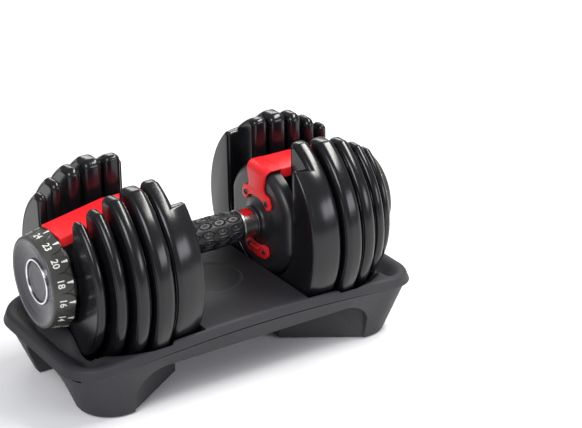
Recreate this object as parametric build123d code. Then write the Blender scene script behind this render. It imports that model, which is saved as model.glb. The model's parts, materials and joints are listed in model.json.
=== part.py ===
from build123d import *
import os
from math import cos, radians, sin, sqrt

# Adjustable dumbbell standing in its cradle tray.  Millimetres.
# X runs along the handle, Z is up, the origin is on the floor under the middle of the tray.
# Every right-hand piece is modelled once; its left-hand twin is the same piece turned
# half a turn about Z, which also reverses the order of the settings on the dial.

# ---- driving dimensions -----------------------------------------------------------------
AXIS_HEIGHT = 127.0         # handle axis above the floor
DIAL_FACE_X = 200.0         # half of the dumbbell's length, dial face to dial face
SETTINGS = 15               # weight settings round each dial

# weight plates, outermost first
PLATE_RADIUS = [86.0, 98.0, 106.0, 110.5, 106.0]
PLATE_INNER_X = [162.0, 145.0, 124.3, 100.5, 78.7]
PLATE_THICKNESS = [10.0, 11.5, 14.6, 19.0, 17.8]
PLATE_TIP_HEIGHT = [72.0, 82.0, 91.5, 96.0, 96.0]      # fin tips above the handle axis
CORE_THICKNESS = [5.0, 7.5, 11.6, 16.0, 15.0]          # steel inside each plate
SLOT_HALF_WIDTH = 33.5
SHELL_WALL = 5.0            # shell left round the outline of each steel core
PLATE_RIM_FILLET = 3.5

# innermost plate: arms that reach in round the handle's end disc
ARM_INNER_X = 63.3
ARM_RADIUS = 103.0
ARM_TIP_HEIGHT = 77.0
POCKET_CLEARANCE = 1.5
POST_NOTCH_HALF_WIDTH = 9.0

# handle
GRIP_HALF_LENGTH = 35.0
GRIP_WALL = 3.1             # rubber over the tube at the grip's ends
GRIP_SWELL = 1.6            # how much thicker the rubber is at the middle
TUBE_RADIUS = 12.5
SHAFT_RADIUS = 6.0
COLLAR_WALL = 2.3
COLLAR_RING_RISE = 2.2
COLLAR_RING_WIDTH = 3.2
INSERT_LENGTH = 8.6
INSERT_WIDTH = 9.0
INSERT_FLOOR = 0.8          # metal left under the red insert
HUB_START_X = 51.5
HUB_BASE_RADIUS = 25.0
HUB_LIP = 1.6               # hub's rounded lip proud of the collar
DISC_FACE_X = 61.5
DISC_THICKNESS = 16.0
DISC_RADIUS = 60.0
DISC_FLAT_DEPTH = 4.0       # how far each side flat cuts into the disc
DISC_CORNER = 6.0
DISC_EDGE = 3.0

# red brackets
BRACKET_THICKNESS = 3.0
BRIDGE_HALF_WIDTH = 20.0
BRIDGE_FLANGE = 11.0
BRIDGE_SHEET = 2.0
BRIDGE_KNEE_X = 112.0       # where the bridge starts to slope down towards the dial
BRIDGE_DROP = 12.0          # how much lower its outer end is
BRIDGE_SHOULDER = 4.0       # height of the leg's widest stretch, under the bend
FORK_HEIGHT = 21.0          # where the fork's arms meet, above the ear holes
FORK_STEM = (7.0, 16.0)     # inner and outer half widths there
TOP_EAR = (20.0, 26.0)      # ear hole, sideways and up from the handle axis
LOWER_EAR = (14.5, -31.0)
EAR_RADIUS = 7.0
BOLT_HEAD_RADIUS = 4.0
BOLT_HEAD_HEIGHT = 2.6
BOLT_RADIUS = 2.0
BOLT_DEPTH = 6.0

# weight selector
RUNNING_CLEARANCE = 0.05
SLEEVE_RADIUS = 9.5
SELECTOR_WEB = 1.2
SELECTOR_GAP = 0.4          # web to the next plate out
LIP_WIDTH = 3.0
LIP_CLEARANCE = 0.8         # lip to the plate it lifts
LIP_PLAY = 0.9              # lip to hook, in radius
HOOK_STEP = 0.5             # slot wall to hook
HOOK_WIDTH = 3.6
HOOK_ANGLE = 30.0
END_PLATE_X = 175.6
END_PLATE_THICKNESS = 1.8
END_PLATE_RADIUS = 21.0

# dial
DIAL_BACK_X = 178.0
DIAL_FACE_RADIUS = 46.6
DIAL_REAR_RADIUS = 51.0
DIAL_WALL = 2.8
DIAL_WEB = 3.0
DISH_DEPTH = 5.0
TRIM_RADIUS = 23.6
TRIM_WIDTH = 2.4
FLUTE_RADIUS = 5.0
FLUTE_DEPTH = 1.2

# lock pin in the end disc
PIN_RADIUS = 3.0
PIN_LENGTH = 20.0
PIN_BORE_DEPTH = 31.0
PIN_RECESS = 0.2            # pin tip above the disc's lowest point while docked
PIN_TIP_GAP = 0.6           # pin tip to the tray's post
SPRING_RADIUS = 2.1
SPRING_WIRE = 0.4
SPRING_TURNS = 5
POST_SIDE = 8.0

# tray
TRAY_LENGTH = 414.0
TRAY_WIDTH = 202.0
TRAY_CORNER = 42.0
RIM_TOP = 77.0              # rim height at the middle of the long side
RIM_CAMBER = 14.0           # how much lower the rim is at the ends
RIM_DEPTH = 10.0            # rim top to parting line
RIM_SLOPE = 4.0             # the rim leans in by this much from parting line to top
RIM_FILLET = 3.0
PARTING_GAP = 0.8
TRAY_WALL = 3.0
FLOOR_INSET_X = 26.0        # how far the feet stand in from the ends
FLOOR_INSET_Y = 17.0
WELL_RADIAL = 1.5           # plate to well, round the outline
WELL_SIDE = 0.8             # plate to well, face to face
RIB_HEIGHT = 12.0
TUB_CLEARANCE = 0.5
TUB_SIDE_INSET = 16.0       # the wells' tubs stay this far in from the long sides
BASIN_FLOOR = 52.0
BASIN_HALF_WIDTH = 76.0
BASIN_END_GAP = 8.0
BASIN_CORNER = 22.0
HUMP_TOP = 75.0
HUMP_TOP_HALF = 13.0
HUMP_FOOT_HALF = 50.0
HUMP_TAPER = 0.7            # width of the saddle's far end as a share of its near end
HUMP_END_GAP = 4.0
HUMP_OVERCUT = 0.3          # the hollow under the saddle runs this far past its foot
ARCH_HALF_LENGTH = 140.0    # arch between the feet on the long sides
ARCH_HEIGHT = 50.0
ARCH_CORNER = 34.0
END_ARCH_HALF = 42.0
END_ARCH_HEIGHT = 44.0
END_ARCH_CORNER = 18.0
FOOT_INNER_X = 64.0
FOOT_INNER_Y = 34.0
FOOT_FRONT = (138.0, 82.0)  # where a foot's slanted inner face meets the long side
FOOT_CENTRE_Y = 22.0
FOOT_FLOOR = 4.0
FOOT_LIFT = 1.5             # the rubber pads hold the feet this far off the floor
PAD_RADIUS = 9.0
PAD_INSET = (57.0, 39.0)    # pad centre in from the tray's end and side
PAD_RECESS = 2.0
SCREW_INSET = (41.0, 51.0)
SCREW_RADIUS = 1.9
SCREW_HEAD_RADIUS = 4.0
SCREW_LENGTH = 16.0
BOSS_RADIUS = 5.0
DECK_RING_RADIUS = 34.0     # shallow round relief on the deck
DECK_RING_DEPTH = 0.8

# ---- values worked out from them --------------------------------------------------------
PLATES = len(PLATE_RADIUS)
PLATE_OUTER_X = [x + t for x, t in zip(PLATE_INNER_X, PLATE_THICKNESS)]
DISC_BACK_X = DISC_FACE_X + DISC_THICKNESS
DISC_FLAT_HALF_WIDTH = DISC_RADIUS - DISC_FLAT_DEPTH
BRIDGE_TOP = DISC_RADIUS + BRIDGE_SHEET     # above the handle axis
POCKET_RADIUS = DISC_RADIUS + POCKET_CLEARANCE
GRIP_END_RADIUS = TUBE_RADIUS + GRIP_WALL
GRIP_MID_RADIUS = GRIP_END_RADIUS + GRIP_SWELL
COLLAR_RADIUS = TUBE_RADIUS + COLLAR_WALL
COLLAR_RING_RADIUS = COLLAR_RADIUS + COLLAR_RING_RISE
SELECTOR_RADIUS = SLOT_HALF_WIDTH + HOOK_STEP + HOOK_WIDTH + LIP_PLAY + LIP_WIDTH
PIN_TIP_HEIGHT = AXIS_HEIGHT - DISC_RADIUS + PIN_RECESS
PAD_AT = (TRAY_LENGTH / 2 - PAD_INSET[0], TRAY_WIDTH / 2 - PAD_INSET[1])
SCREW_AT = (TRAY_LENGTH / 2 - SCREW_INSET[0], TRAY_WIDTH / 2 - SCREW_INSET[1])
STEP = 360.0 / SETTINGS
WELL_END_X = PLATE_OUTER_X[0] + WELL_SIDE
PIN_X = DISC_FACE_X + DISC_THICKNESS / 2
BIG = 600.0

# which plates each setting picks up, 1 is the outermost; the list starts at the heaviest
# setting and goes round the dial
PICKED = ["12345", "", "1", "2", "12", "3", "13", "23", "123", "24", "34", "45", "245", "345", "2345"]


# ---- helpers ----------------------------------------------------------------------------
def rod_x(radius, x0, x1, bore=0.0):
    """Round bar or tube along the handle axis."""
    middle = Pos((x0 + x1) / 2, 0, AXIS_HEIGHT) * Rot(0, 90, 0)
    bar = middle * Cylinder(radius, x1 - x0)
    if bore > 0:
        bar -= middle * Cylinder(bore, x1 - x0 + 2)
    return bar


def box(x0, x1, y0, y1, z0, z1):
    centre = Pos((x0 + x1) / 2, (y0 + y1) / 2, (z0 + z1) / 2)
    return centre * Box(x1 - x0, y1 - y0, z1 - z0)


def across(sketch, x0, x1):
    """Extrude a sketch drawn as (y, height above the axis) from x0 to x1."""
    plane = Plane(origin=(x0, 0, AXIS_HEIGHT), x_dir=(0, 1, 0), z_dir=(1, 0, 0))
    return extrude(plane * sketch, amount=x1 - x0)


def turned(points):
    """Revolve a closed outline of (x, radius) points about the handle axis."""
    outline = make_face(Polyline(*[(x, 0, AXIS_HEIGHT + r) for x, r in points], close=True))
    axis = Axis((0, 0, AXIS_HEIGHT), (1, 0, 0))
    return revolve(outline, axis=axis)


def arc_block(r0, r1, x0, x1, start, sweep):
    """Part of a ring about the handle axis; angles in degrees from straight up towards -Y."""
    ring = rod_x(r1, x0, x1, r0)
    if sweep >= 360:
        return ring
    reach = 2 * r1
    corners = [(0, 0)]
    steps = max(2, int(sweep / 45) + 2)
    for i in range(steps):
        a = radians(start + sweep * i / (steps - 1))
        corners.append((-reach * sin(a), reach * cos(a)))
    wedge = make_face(Polyline(*corners, close=True))
    return ring & across(wedge, x0 - 1, x1 + 1)


def left_of(part):
    """The left-hand twin of a right-hand piece."""
    return Rot(0, 0, 180) * part


# ---- weight plates ----------------------------------------------------------------------
def fin_outline(radius, slot_half, tip_height):
    """Round plate with an upward slot whose two fins end in flat, rounded tips."""
    disc = Circle(radius) & (Pos(0, tip_height - BIG / 2) * Rectangle(BIG, BIG))
    slot = Circle(slot_half) + Pos(0, BIG / 2) * Rectangle(2 * slot_half, BIG)
    outline = disc - slot
    flat = sqrt(radius ** 2 - tip_height ** 2) - slot_half
    tips = [v for v in outline.vertices() if abs(v.Y - tip_height) < 0.01]
    return fillet(tips, min(0.42 * flat, 8.0))


def rim_edges(part, radius):
    circles = part.edges().filter_by(GeomType.CIRCLE)
    return [e for e in circles if abs(e.radius - radius) < 0.01]


def next_face_x(k):
    """Where the gap outside plate k ends: the next plate out, or the end plate."""
    return END_PLATE_X if k == 0 else PLATE_INNER_X[k - 1]


def selector_web_x(k):
    return next_face_x(k) - SELECTOR_GAP - SELECTOR_WEB


def plate_core(k):
    outline = fin_outline(PLATE_RADIUS[k], SLOT_HALF_WIDTH, PLATE_TIP_HEIGHT[k])
    middle = (PLATE_INNER_X[k] + PLATE_OUTER_X[k]) / 2
    half = CORE_THICKNESS[k] / 2
    return across(offset(outline, -SHELL_WALL), middle - half, middle + half)


def plate_shell(k):
    radius = PLATE_RADIUS[k]
    outline = fin_outline(radius, SLOT_HALF_WIDTH, PLATE_TIP_HEIGHT[k])
    shell = across(outline, PLATE_INNER_X[k], PLATE_OUTER_X[k])
    shell = fillet(rim_edges(shell, radius), PLATE_RIM_FILLET)
    if k == PLATES - 1:
        arms = fin_outline(ARM_RADIUS, POCKET_RADIUS, ARM_TIP_HEIGHT)
        arm_block = across(arms, ARM_INNER_X, PLATE_INNER_X[k])
        arm_block = fillet(rim_edges(arm_block, ARM_RADIUS)[:1], PLATE_RIM_FILLET)
        notch = box(ARM_INNER_X - 1, PLATE_INNER_X[k], -POST_NOTCH_HALF_WIDTH, POST_NOTCH_HALF_WIDTH,
                    0, AXIS_HEIGHT)
        shell += arm_block - notch
    hook_end = selector_web_x(k) - SELECTOR_GAP
    hook_radius = SLOT_HALF_WIDTH + HOOK_STEP
    hook = arc_block(hook_radius, hook_radius + HOOK_WIDTH,
                     PLATE_OUTER_X[k], hook_end, 180 - HOOK_ANGLE / 2, HOOK_ANGLE)
    return shell + hook - plate_core(k)


# ---- selector: sleeve, discs, dial ------------------------------------------------------
def selector_sleeve():
    return rod_x(SLEEVE_RADIUS, DISC_BACK_X + 1.5, DIAL_BACK_X + DIAL_WEB + 3,
                 SHAFT_RADIUS + RUNNING_CLEARANCE)


def selector_disc(k):
    """Thin disc whose lip runs under plate k's hook at the settings that pick the plate up."""
    web_x = selector_web_x(k)
    disc = rod_x(SELECTOR_RADIUS, web_x, web_x + SELECTOR_WEB, SLEEVE_RADIUS)
    lip_x = PLATE_OUTER_X[k] + LIP_CLEARANCE
    for i, picked in enumerate(PICKED):
        if str(k + 1) in picked:
            # the setting that is on top at the dial has its lip at the bottom
            start = 180 + i * STEP - STEP / 2
            disc += arc_block(SELECTOR_RADIUS - LIP_WIDTH, SELECTOR_RADIUS, lip_x, web_x, start, STEP)
    return disc


def dial_ring():
    slope = (DIAL_REAR_RADIUS - DIAL_FACE_RADIUS) / (DIAL_FACE_X - DIAL_BACK_X)
    bore = DIAL_FACE_RADIUS - DIAL_WALL
    ring = turned([
        (DIAL_BACK_X, SLEEVE_RADIUS), (DIAL_BACK_X, DIAL_REAR_RADIUS - 1.2),
        (DIAL_BACK_X + 1.2, DIAL_REAR_RADIUS), (DIAL_FACE_X - 1.5, DIAL_FACE_RADIUS + 1.5 * slope),
        (DIAL_FACE_X, DIAL_FACE_RADIUS - 1.2), (DIAL_FACE_X, bore + 0.6),
        (DIAL_FACE_X - 0.6, bore), (DIAL_BACK_X + DIAL_WEB, bore), (DIAL_BACK_X + DIAL_WEB, SLEEVE_RADIUS)])
    reach = DIAL_REAR_RADIUS + FLUTE_RADIUS - FLUTE_DEPTH
    for i in range(SETTINGS):
        a = radians((i + 0.5) * STEP)
        centre = Pos(DIAL_BACK_X, -reach * sin(a), AXIS_HEIGHT + reach * cos(a))
        ring -= centre * Sphere(FLUTE_RADIUS)
    return ring


def dial_face():
    bore = DIAL_FACE_RADIUS - DIAL_WALL
    floor_x = DIAL_FACE_X - DISH_DEPTH
    return turned([
        (DIAL_FACE_X - 0.8, bore), (DIAL_FACE_X - 0.8, bore - 1.2), (floor_x + 1.6, bore - 7),
        (floor_x + 0.4, bore - 12), (floor_x, TRIM_RADIUS + 1), (floor_x, TRIM_RADIUS),
        (floor_x - 2.5, TRIM_RADIUS), (floor_x - 2.5, bore)])


def dial_trim_ring():
    floor_x = DIAL_FACE_X - DISH_DEPTH
    return turned([
        (floor_x - 2.5, TRIM_RADIUS), (floor_x + 0.6, TRIM_RADIUS), (floor_x + 1.6, TRIM_RADIUS - 0.8),
        (floor_x + 1.6, TRIM_RADIUS - 1.6), (floor_x + 0.6, TRIM_RADIUS - TRIM_WIDTH),
        (floor_x - 2.5, TRIM_RADIUS - TRIM_WIDTH)])


def dial_cap():
    """Centre cap with a rear skirt that snaps on the dial's web."""
    floor_x = DIAL_FACE_X - DISH_DEPTH
    edge = TRIM_RADIUS - TRIM_WIDTH
    return turned([
        (floor_x + 0.2, 0), (floor_x + 0.2, edge - 1), (floor_x - 0.4, edge),
        (DIAL_BACK_X + DIAL_WEB, edge), (DIAL_BACK_X + DIAL_WEB, edge - 2),
        (floor_x - 2.5, edge - 2), (floor_x - 2.5, 0)])


# ---- handle -----------------------------------------------------------------------------
def shaft():
    end = DIAL_BACK_X + DIAL_WEB + 9
    return rod_x(SHAFT_RADIUS, -end, end)


def shaft_end_nut():
    start = DIAL_BACK_X + DIAL_WEB + 3.5
    hexagon = RegularPolygon(9.0, 6) - Circle(SHAFT_RADIUS)
    washer = rod_x(10.5, start, start + 1.0, SHAFT_RADIUS)
    return washer + across(hexagon, start + 1.0, start + 5.5)


def handle_tube():
    return rod_x(TUBE_RADIUS, -DISC_BACK_X, DISC_BACK_X, SHAFT_RADIUS)


def grip():
    """Rubber sleeve that swells gently towards the middle."""
    g = GRIP_HALF_LENGTH
    top = ThreePointArc((-g, 0, AXIS_HEIGHT + GRIP_END_RADIUS), (0, 0, AXIS_HEIGHT + GRIP_MID_RADIUS),
                        (g, 0, AXIS_HEIGHT + GRIP_END_RADIUS))
    rest = Polyline((g, 0, AXIS_HEIGHT + GRIP_END_RADIUS), (g, 0, AXIS_HEIGHT + TUBE_RADIUS),
                    (-g, 0, AXIS_HEIGHT + TUBE_RADIUS), (-g, 0, AXIS_HEIGHT + GRIP_END_RADIUS))
    return revolve(make_face(top + rest), axis=Axis((0, 0, AXIS_HEIGHT), (1, 0, 0)))


def collar_insert():
    """Red insert on top of the collar; the collar's pocket is the same block."""
    middle = (GRIP_HALF_LENGTH + COLLAR_RING_WIDTH + HUB_START_X) / 2
    plan = RectangleRounded(INSERT_LENGTH, INSERT_WIDTH, 1.6)
    base = Plane.XY.offset(AXIS_HEIGHT + TUBE_RADIUS + INSERT_FLOOR)
    return extrude(base * (Pos(middle, 0) * plan), amount=COLLAR_RADIUS - TUBE_RADIUS)


def collar():
    ring_end = GRIP_HALF_LENGTH + COLLAR_RING_WIDTH
    body = turned([
        (GRIP_HALF_LENGTH, TUBE_RADIUS), (GRIP_HALF_LENGTH, COLLAR_RING_RADIUS - 0.8),
        (GRIP_HALF_LENGTH + 0.8, COLLAR_RING_RADIUS), (ring_end - 0.8, COLLAR_RING_RADIUS),
        (ring_end, COLLAR_RING_RADIUS - 0.8), (ring_end, COLLAR_RADIUS),
        (HUB_START_X, COLLAR_RADIUS), (HUB_START_X, TUBE_RADIUS)])
    return body - collar_insert()


def pin_bore():
    start = AXIS_HEIGHT - DISC_RADIUS - 1
    height = PIN_BORE_DEPTH + 1
    return Pos(PIN_X, 0, start + height / 2) * Cylinder(PIN_RADIUS + RUNNING_CLEARANCE, height)


def inner_disc():
    outline = Circle(DISC_RADIUS) & Rectangle(2 * DISC_FLAT_HALF_WIDTH, 2 * DISC_RADIUS)
    outline = fillet(outline.vertices(), DISC_CORNER)
    disc = across(outline, DISC_FACE_X, DISC_BACK_X)
    disc = fillet(disc.faces().sort_by(Axis.X)[0].edges(), DISC_EDGE)
    hub = turned([
        (HUB_START_X, TUBE_RADIUS), (HUB_START_X, COLLAR_RADIUS + HUB_LIP),
        (HUB_START_X + 1.5, COLLAR_RADIUS + HUB_LIP + 1), (HUB_START_X + 9, HUB_BASE_RADIUS - 5),
        (DISC_FACE_X, HUB_BASE_RADIUS), (DISC_FACE_X + 4, HUB_BASE_RADIUS), (DISC_FACE_X + 4, TUBE_RADIUS)])
    disc = disc + hub - rod_x(TUBE_RADIUS, HUB_START_X - 1, DISC_BACK_X + 1)
    for sideways, up in bolt_places():
        disc -= bolt_shank(sideways, up)
    return disc - pin_bore()


def bolt_places():
    places = []
    for ear in (TOP_EAR, LOWER_EAR):
        places += [ear, (-ear[0], ear[1])]
    return places


def bolt_shank(sideways, up):
    return across(Pos(sideways, up) * Circle(BOLT_RADIUS), DISC_FACE_X - BRACKET_THICKNESS,
                  DISC_FACE_X + BOLT_DEPTH)


def bracket_bolts():
    bolts = []
    for sideways, up in bolt_places():
        start = DISC_FACE_X - BRACKET_THICKNESS
        hexagon = Pos(sideways, up) * RegularPolygon(BOLT_HEAD_RADIUS, 6)
        head = across(hexagon, start - BOLT_HEAD_HEIGHT, start)
        bolts.append(head + bolt_shank(sideways, up))
    return bolts


def bridge_band(x0, y0, y1, under, depth):
    """Strip along the bridge, level up to the knee and then sloping down, this far under its top."""
    end = END_PLATE_X + END_PLATE_THICKNESS
    high = AXIS_HEIGHT + BRIDGE_TOP - under
    low = high - BRIDGE_DROP
    side = make_face(Polyline(
        (x0, y0, high), (BRIDGE_KNEE_X, y0, high), (end, y0, low), (end, y0, low - depth),
        (BRIDGE_KNEE_X, y0, high - depth), (x0, y0, high - depth), close=True))
    return extrude(side, amount=y1 - y0, dir=(0, 1, 0))


def top_bracket():
    """Forked leg on the end disc that bends over its top and bridges out to the dial."""
    y, z = TOP_EAR
    fork = Pos(y, z) * Circle(EAR_RADIUS) + Pos(-y, z) * Circle(EAR_RADIUS)
    inner, outer = FORK_STEM
    joint = z + FORK_HEIGHT
    for side in (1, -1):
        arm = Polyline((side * (y + EAR_RADIUS - 0.5), z + 2), (side * outer, joint), (side * inner, joint),
                       (side * (y - EAR_RADIUS + 1), z + 2), close=True)
        fork += make_face(arm)
    w = BRIDGE_HALF_WIDTH
    shoulder = BRIDGE_TOP - BRIDGE_SHOULDER
    stem = Polyline((-outer, joint - 9), (-outer, joint), (-w, shoulder), (-w, BRIDGE_TOP),
                    (w, BRIDGE_TOP), (w, shoulder), (outer, joint), (outer, joint - 9),
                    (inner, joint - 4), (-inner, joint - 4), close=True)
    fork += make_face(stem)
    hub_room = HUB_BASE_RADIUS + 1
    leg = across(fork - Circle(hub_room), DISC_FACE_X - BRACKET_THICKNESS, DISC_FACE_X)
    bracket = leg + bridge_band(DISC_FACE_X - BRACKET_THICKNESS, -w, w, 0, BRIDGE_SHEET)
    for y0, y1 in ((-w, -w + BRIDGE_SHEET), (w - BRIDGE_SHEET, w)):
        bracket += bridge_band(DISC_BACK_X + 1, y0, y1, 0, BRIDGE_FLANGE)
    for side in (1, -1):
        bracket -= bolt_shank(side * y, z)
    return bracket


def lower_bracket():
    """Curved strap under the hub with an ear at each end and a small lip by the collar."""
    y, z = LOWER_EAR
    inner = HUB_BASE_RADIUS + 1
    strap = (Circle(inner + 9) - Circle(inner)) & (Pos(0, -inner - 8) * Rectangle(2 * y + 4, 32))
    strap += Pos(y, z) * Circle(EAR_RADIUS) + Pos(-y, z) * Circle(EAR_RADIUS)
    strap -= Circle(inner)
    plate = across(strap, DISC_FACE_X - BRACKET_THICKNESS, DISC_FACE_X)
    lip_face = Pos(0, -inner - 4) * Rectangle(12, 3)
    plate += across(lip_face, DISC_FACE_X - BRACKET_THICKNESS - 4, DISC_FACE_X)
    for side in (1, -1):
        plate -= bolt_shank(side * y, z)
    return plate


def end_plate():
    """Thin steel plate behind the dial that hangs from the bridge and carries the shaft's outer end."""
    w = BRIDGE_HALF_WIDTH - BRIDGE_SHEET
    top = BRIDGE_TOP - BRIDGE_DROP - BRIDGE_SHEET
    foot = 0.8 * END_PLATE_RADIUS
    arm = make_face(Polyline((-w, BRIDGE_TOP), (w, BRIDGE_TOP), (w, top), (foot, 0), (-foot, 0),
                             (-w, top), close=True))
    outline = Circle(END_PLATE_RADIUS) + arm - Circle(SLEEVE_RADIUS + RUNNING_CLEARANCE)
    plate = across(outline, END_PLATE_X, END_PLATE_X + END_PLATE_THICKNESS)
    reach = END_PLATE_RADIUS
    return plate & bridge_band(DISC_BACK_X, -reach, reach, BRIDGE_SHEET, BRIDGE_TOP + reach)


def lock_pin():
    return Pos(PIN_X, 0, PIN_TIP_HEIGHT + PIN_LENGTH / 2) * Cylinder(PIN_RADIUS, PIN_LENGTH)


def lock_spring():
    """Coil spring between the pin and the top of its bore."""
    low = PIN_TIP_HEIGHT + PIN_LENGTH + SPRING_WIRE
    high = AXIS_HEIGHT - DISC_RADIUS + PIN_BORE_DEPTH - SPRING_WIRE
    height = high - low
    path = Helix(pitch=height / SPRING_TURNS, height=height, radius=SPRING_RADIUS)
    start = Plane(origin=path @ 0, z_dir=path % 0)
    wire = sweep(start * Circle(SPRING_WIRE), path=path, is_frenet=True)
    return Pos(PIN_X, 0, low) * wire


# ---- tray -------------------------------------------------------------------------------
def below_curve(height, length=TRAY_LENGTH):
    """Everything under the cambered line that passes at this height at the middle of the tray."""
    reach = 0.6 * length
    drop = RIM_CAMBER * (reach / (length / 2)) ** 2
    arc = ThreePointArc((-reach, 0, height - drop), (0, 0, height), (reach, 0, height - drop))
    rest = Polyline((reach, 0, height - drop), (reach, 0, -20), (-reach, 0, -20), (-reach, 0, height - drop))
    return extrude(make_face(arc + rest), amount=TRAY_WIDTH, both=True)


def tray_plan(inset, corner_change=0.0, extra_x=0.0, extra_y=0.0):
    length = TRAY_LENGTH - 2 * inset - 2 * extra_x
    width = TRAY_WIDTH - 2 * inset - 2 * extra_y
    return RectangleRounded(length, width, TRAY_CORNER - inset - corner_change)


def rim_body(inset):
    """The rim's tapered plug, from below the parting line to above the rim."""
    low, high = RIM_TOP - RIM_DEPTH - RIM_CAMBER - 6, RIM_TOP + 4
    rise = high - low
    lean = RIM_SLOPE * rise / (RIM_DEPTH + RIM_CAMBER)
    bottom = Plane.XY.offset(low) * tray_plan(inset)
    top = Plane.XY.offset(high) * tray_plan(inset + lean)
    return loft([bottom.face(), top.face()])


def wells(grow, ribs):
    """The plates' wells on the right-hand side, grown by this much all round."""
    ranges = []
    for k in range(PLATES):
        inner = ARM_INNER_X if k == PLATES - 1 else PLATE_INNER_X[k]
        ranges.append((inner - WELL_SIDE, PLATE_OUTER_X[k] + WELL_SIDE, PLATE_RADIUS[k] + WELL_RADIAL))
    # room for the part of the end disc that stands in front of the innermost plate's arms
    ranges.append((DISC_FACE_X - WELL_SIDE, PLATE_INNER_X[-1], POCKET_RADIUS))
    space = None
    for x0, x1, radius in ranges:
        ring = rod_x(radius + grow, x0 - grow, x1 + grow)
        space = ring if space is None else space + ring
    if ribs:
        for k in range(PLATES - 1):
            outer, inner = ranges[k], ranges[k + 1]
            depth = min(PLATE_RADIUS[k], PLATE_RADIUS[k + 1]) - RIB_HEIGHT
            space += rod_x(depth, inner[1] - 1, outer[0] + 1)
    return space


def hump(shrink):
    """Raised saddle under the dial, sloping down towards the tray's end."""
    start = WELL_END_X + shrink
    end = TRAY_LENGTH / 2 - BASIN_END_GAP - HUMP_END_GAP - shrink
    low = BASIN_FLOOR - TRAY_WALL - (HUMP_OVERCUT if shrink else 0)
    profiles = []
    for x, top, half_top, half_foot in (
            (start, HUMP_TOP - shrink, HUMP_TOP_HALF, HUMP_FOOT_HALF - shrink),
            (end, BASIN_FLOOR + 0.5 - shrink, HUMP_TOP_HALF, HUMP_FOOT_HALF * HUMP_TAPER - shrink)):
        points = [(x, -half_foot, low), (x, -half_top, top), (x, half_top, top), (x, half_foot, low)]
        profiles.append(make_face(Polyline(*points, close=True)))
    return loft(profiles)


def tray_top_shell():
    shell = rim_body(0) & below_curve(RIM_TOP)
    top_rim = shell.faces().sort_by(Axis.Z)[-1]
    shell = fillet(top_rim.edges(), RIM_FILLET)
    shell -= below_curve(RIM_TOP - RIM_DEPTH)
    shell -= rim_body(TRAY_WALL) & below_curve(RIM_TOP - TRAY_WALL)
    basin_x0, basin_x1 = WELL_END_X, TRAY_LENGTH / 2 - BASIN_END_GAP
    deck_ring = Pos(0, 0, RIM_TOP) * Cylinder(DECK_RING_RADIUS, 2 * DECK_RING_DEPTH)
    shell -= deck_ring
    tub_x, tub_y = WELL_END_X + TRAY_WALL, TRAY_WIDTH / 2 - TUB_SIDE_INSET
    limit = rim_body(TRAY_WALL / 2) + box(-tub_x, tub_x, -tub_y, tub_y, 0, BASIN_FLOOR)
    inner_top = below_curve(RIM_TOP - TRAY_WALL / 2)
    for turn in (0, 180):
        half = BASIN_HALF_WIDTH
        basin_box = box(basin_x0 + TRAY_WALL, basin_x1, -half, half, BASIN_FLOOR, RIM_TOP)
        uprights = basin_box.edges().filter_by(Axis.Z).sort_by(Axis.X)[-2:]
        basin_space = fillet(uprights, BASIN_CORNER)
        basin_wall = box(basin_x0, basin_x1 + TRAY_WALL, -half - TRAY_WALL, half + TRAY_WALL,
                         BASIN_FLOOR - TRAY_WALL, RIM_TOP)
        uprights = basin_wall.edges().filter_by(Axis.Z).sort_by(Axis.X)[-2:]
        basin_wall = fillet(uprights, BASIN_CORNER + TRAY_WALL)
        tubs = wells(TRAY_WALL, False) & inner_top & limit
        side = tubs + (basin_wall & inner_top & limit)
        for y in (SCREW_AT[1], -SCREW_AT[1]):
            foot = FOOT_LIFT + FOOT_FLOOR
            rise = RIM_TOP - foot
            boss = Pos(SCREW_AT[0], y, foot + rise / 2) * Cylinder(BOSS_RADIUS, rise)
            side += boss & inner_top
        shell += Rot(0, 0, turn) * side
        shell -= Rot(0, 0, turn) * basin_space
        shell += Rot(0, 0, turn) * hump(0)
        shell -= Rot(0, 0, turn) * hump(TRAY_WALL)
        shell -= Rot(0, 0, turn) * wells(0, True)
        for y in (SCREW_AT[1], -SCREW_AT[1]):
            shell -= Rot(0, 0, turn) * screw_shank(SCREW_AT[0], y)
    return shell


def screw_shank(x, y):
    bottom = FOOT_LIFT + PAD_RECESS
    return Pos(x, y, bottom + SCREW_LENGTH / 2) * Cylinder(SCREW_RADIUS, SCREW_LENGTH)


def tray_body(inset):
    """Lower shell's tapered outline from the feet to above the parting line."""
    wide = Plane.XY.offset(RIM_TOP - RIM_DEPTH) * tray_plan(inset)
    narrow = Plane.XY.offset(0) * tray_plan(inset, 6.0, FLOOR_INSET_X, FLOOR_INSET_Y)
    return loft([narrow.face(), wide.face()])


def foot_plan(inset):
    """Plan of one foot: slanted inner face, open to the tray's outline on its outer sides."""
    far = BIG / 2
    outline = make_face(Polyline(
        (FOOT_INNER_X, FOOT_CENTRE_Y), (FOOT_INNER_X, FOOT_INNER_Y), FOOT_FRONT, (FOOT_FRONT[0], far),
        (far, far), (far, END_ARCH_HALF), (TRAY_LENGTH / 2 - FLOOR_INSET_X - 30, END_ARCH_HALF), close=True))
    return offset(outline, -inset, kind=Kind.INTERSECTION) if inset else outline


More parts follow.
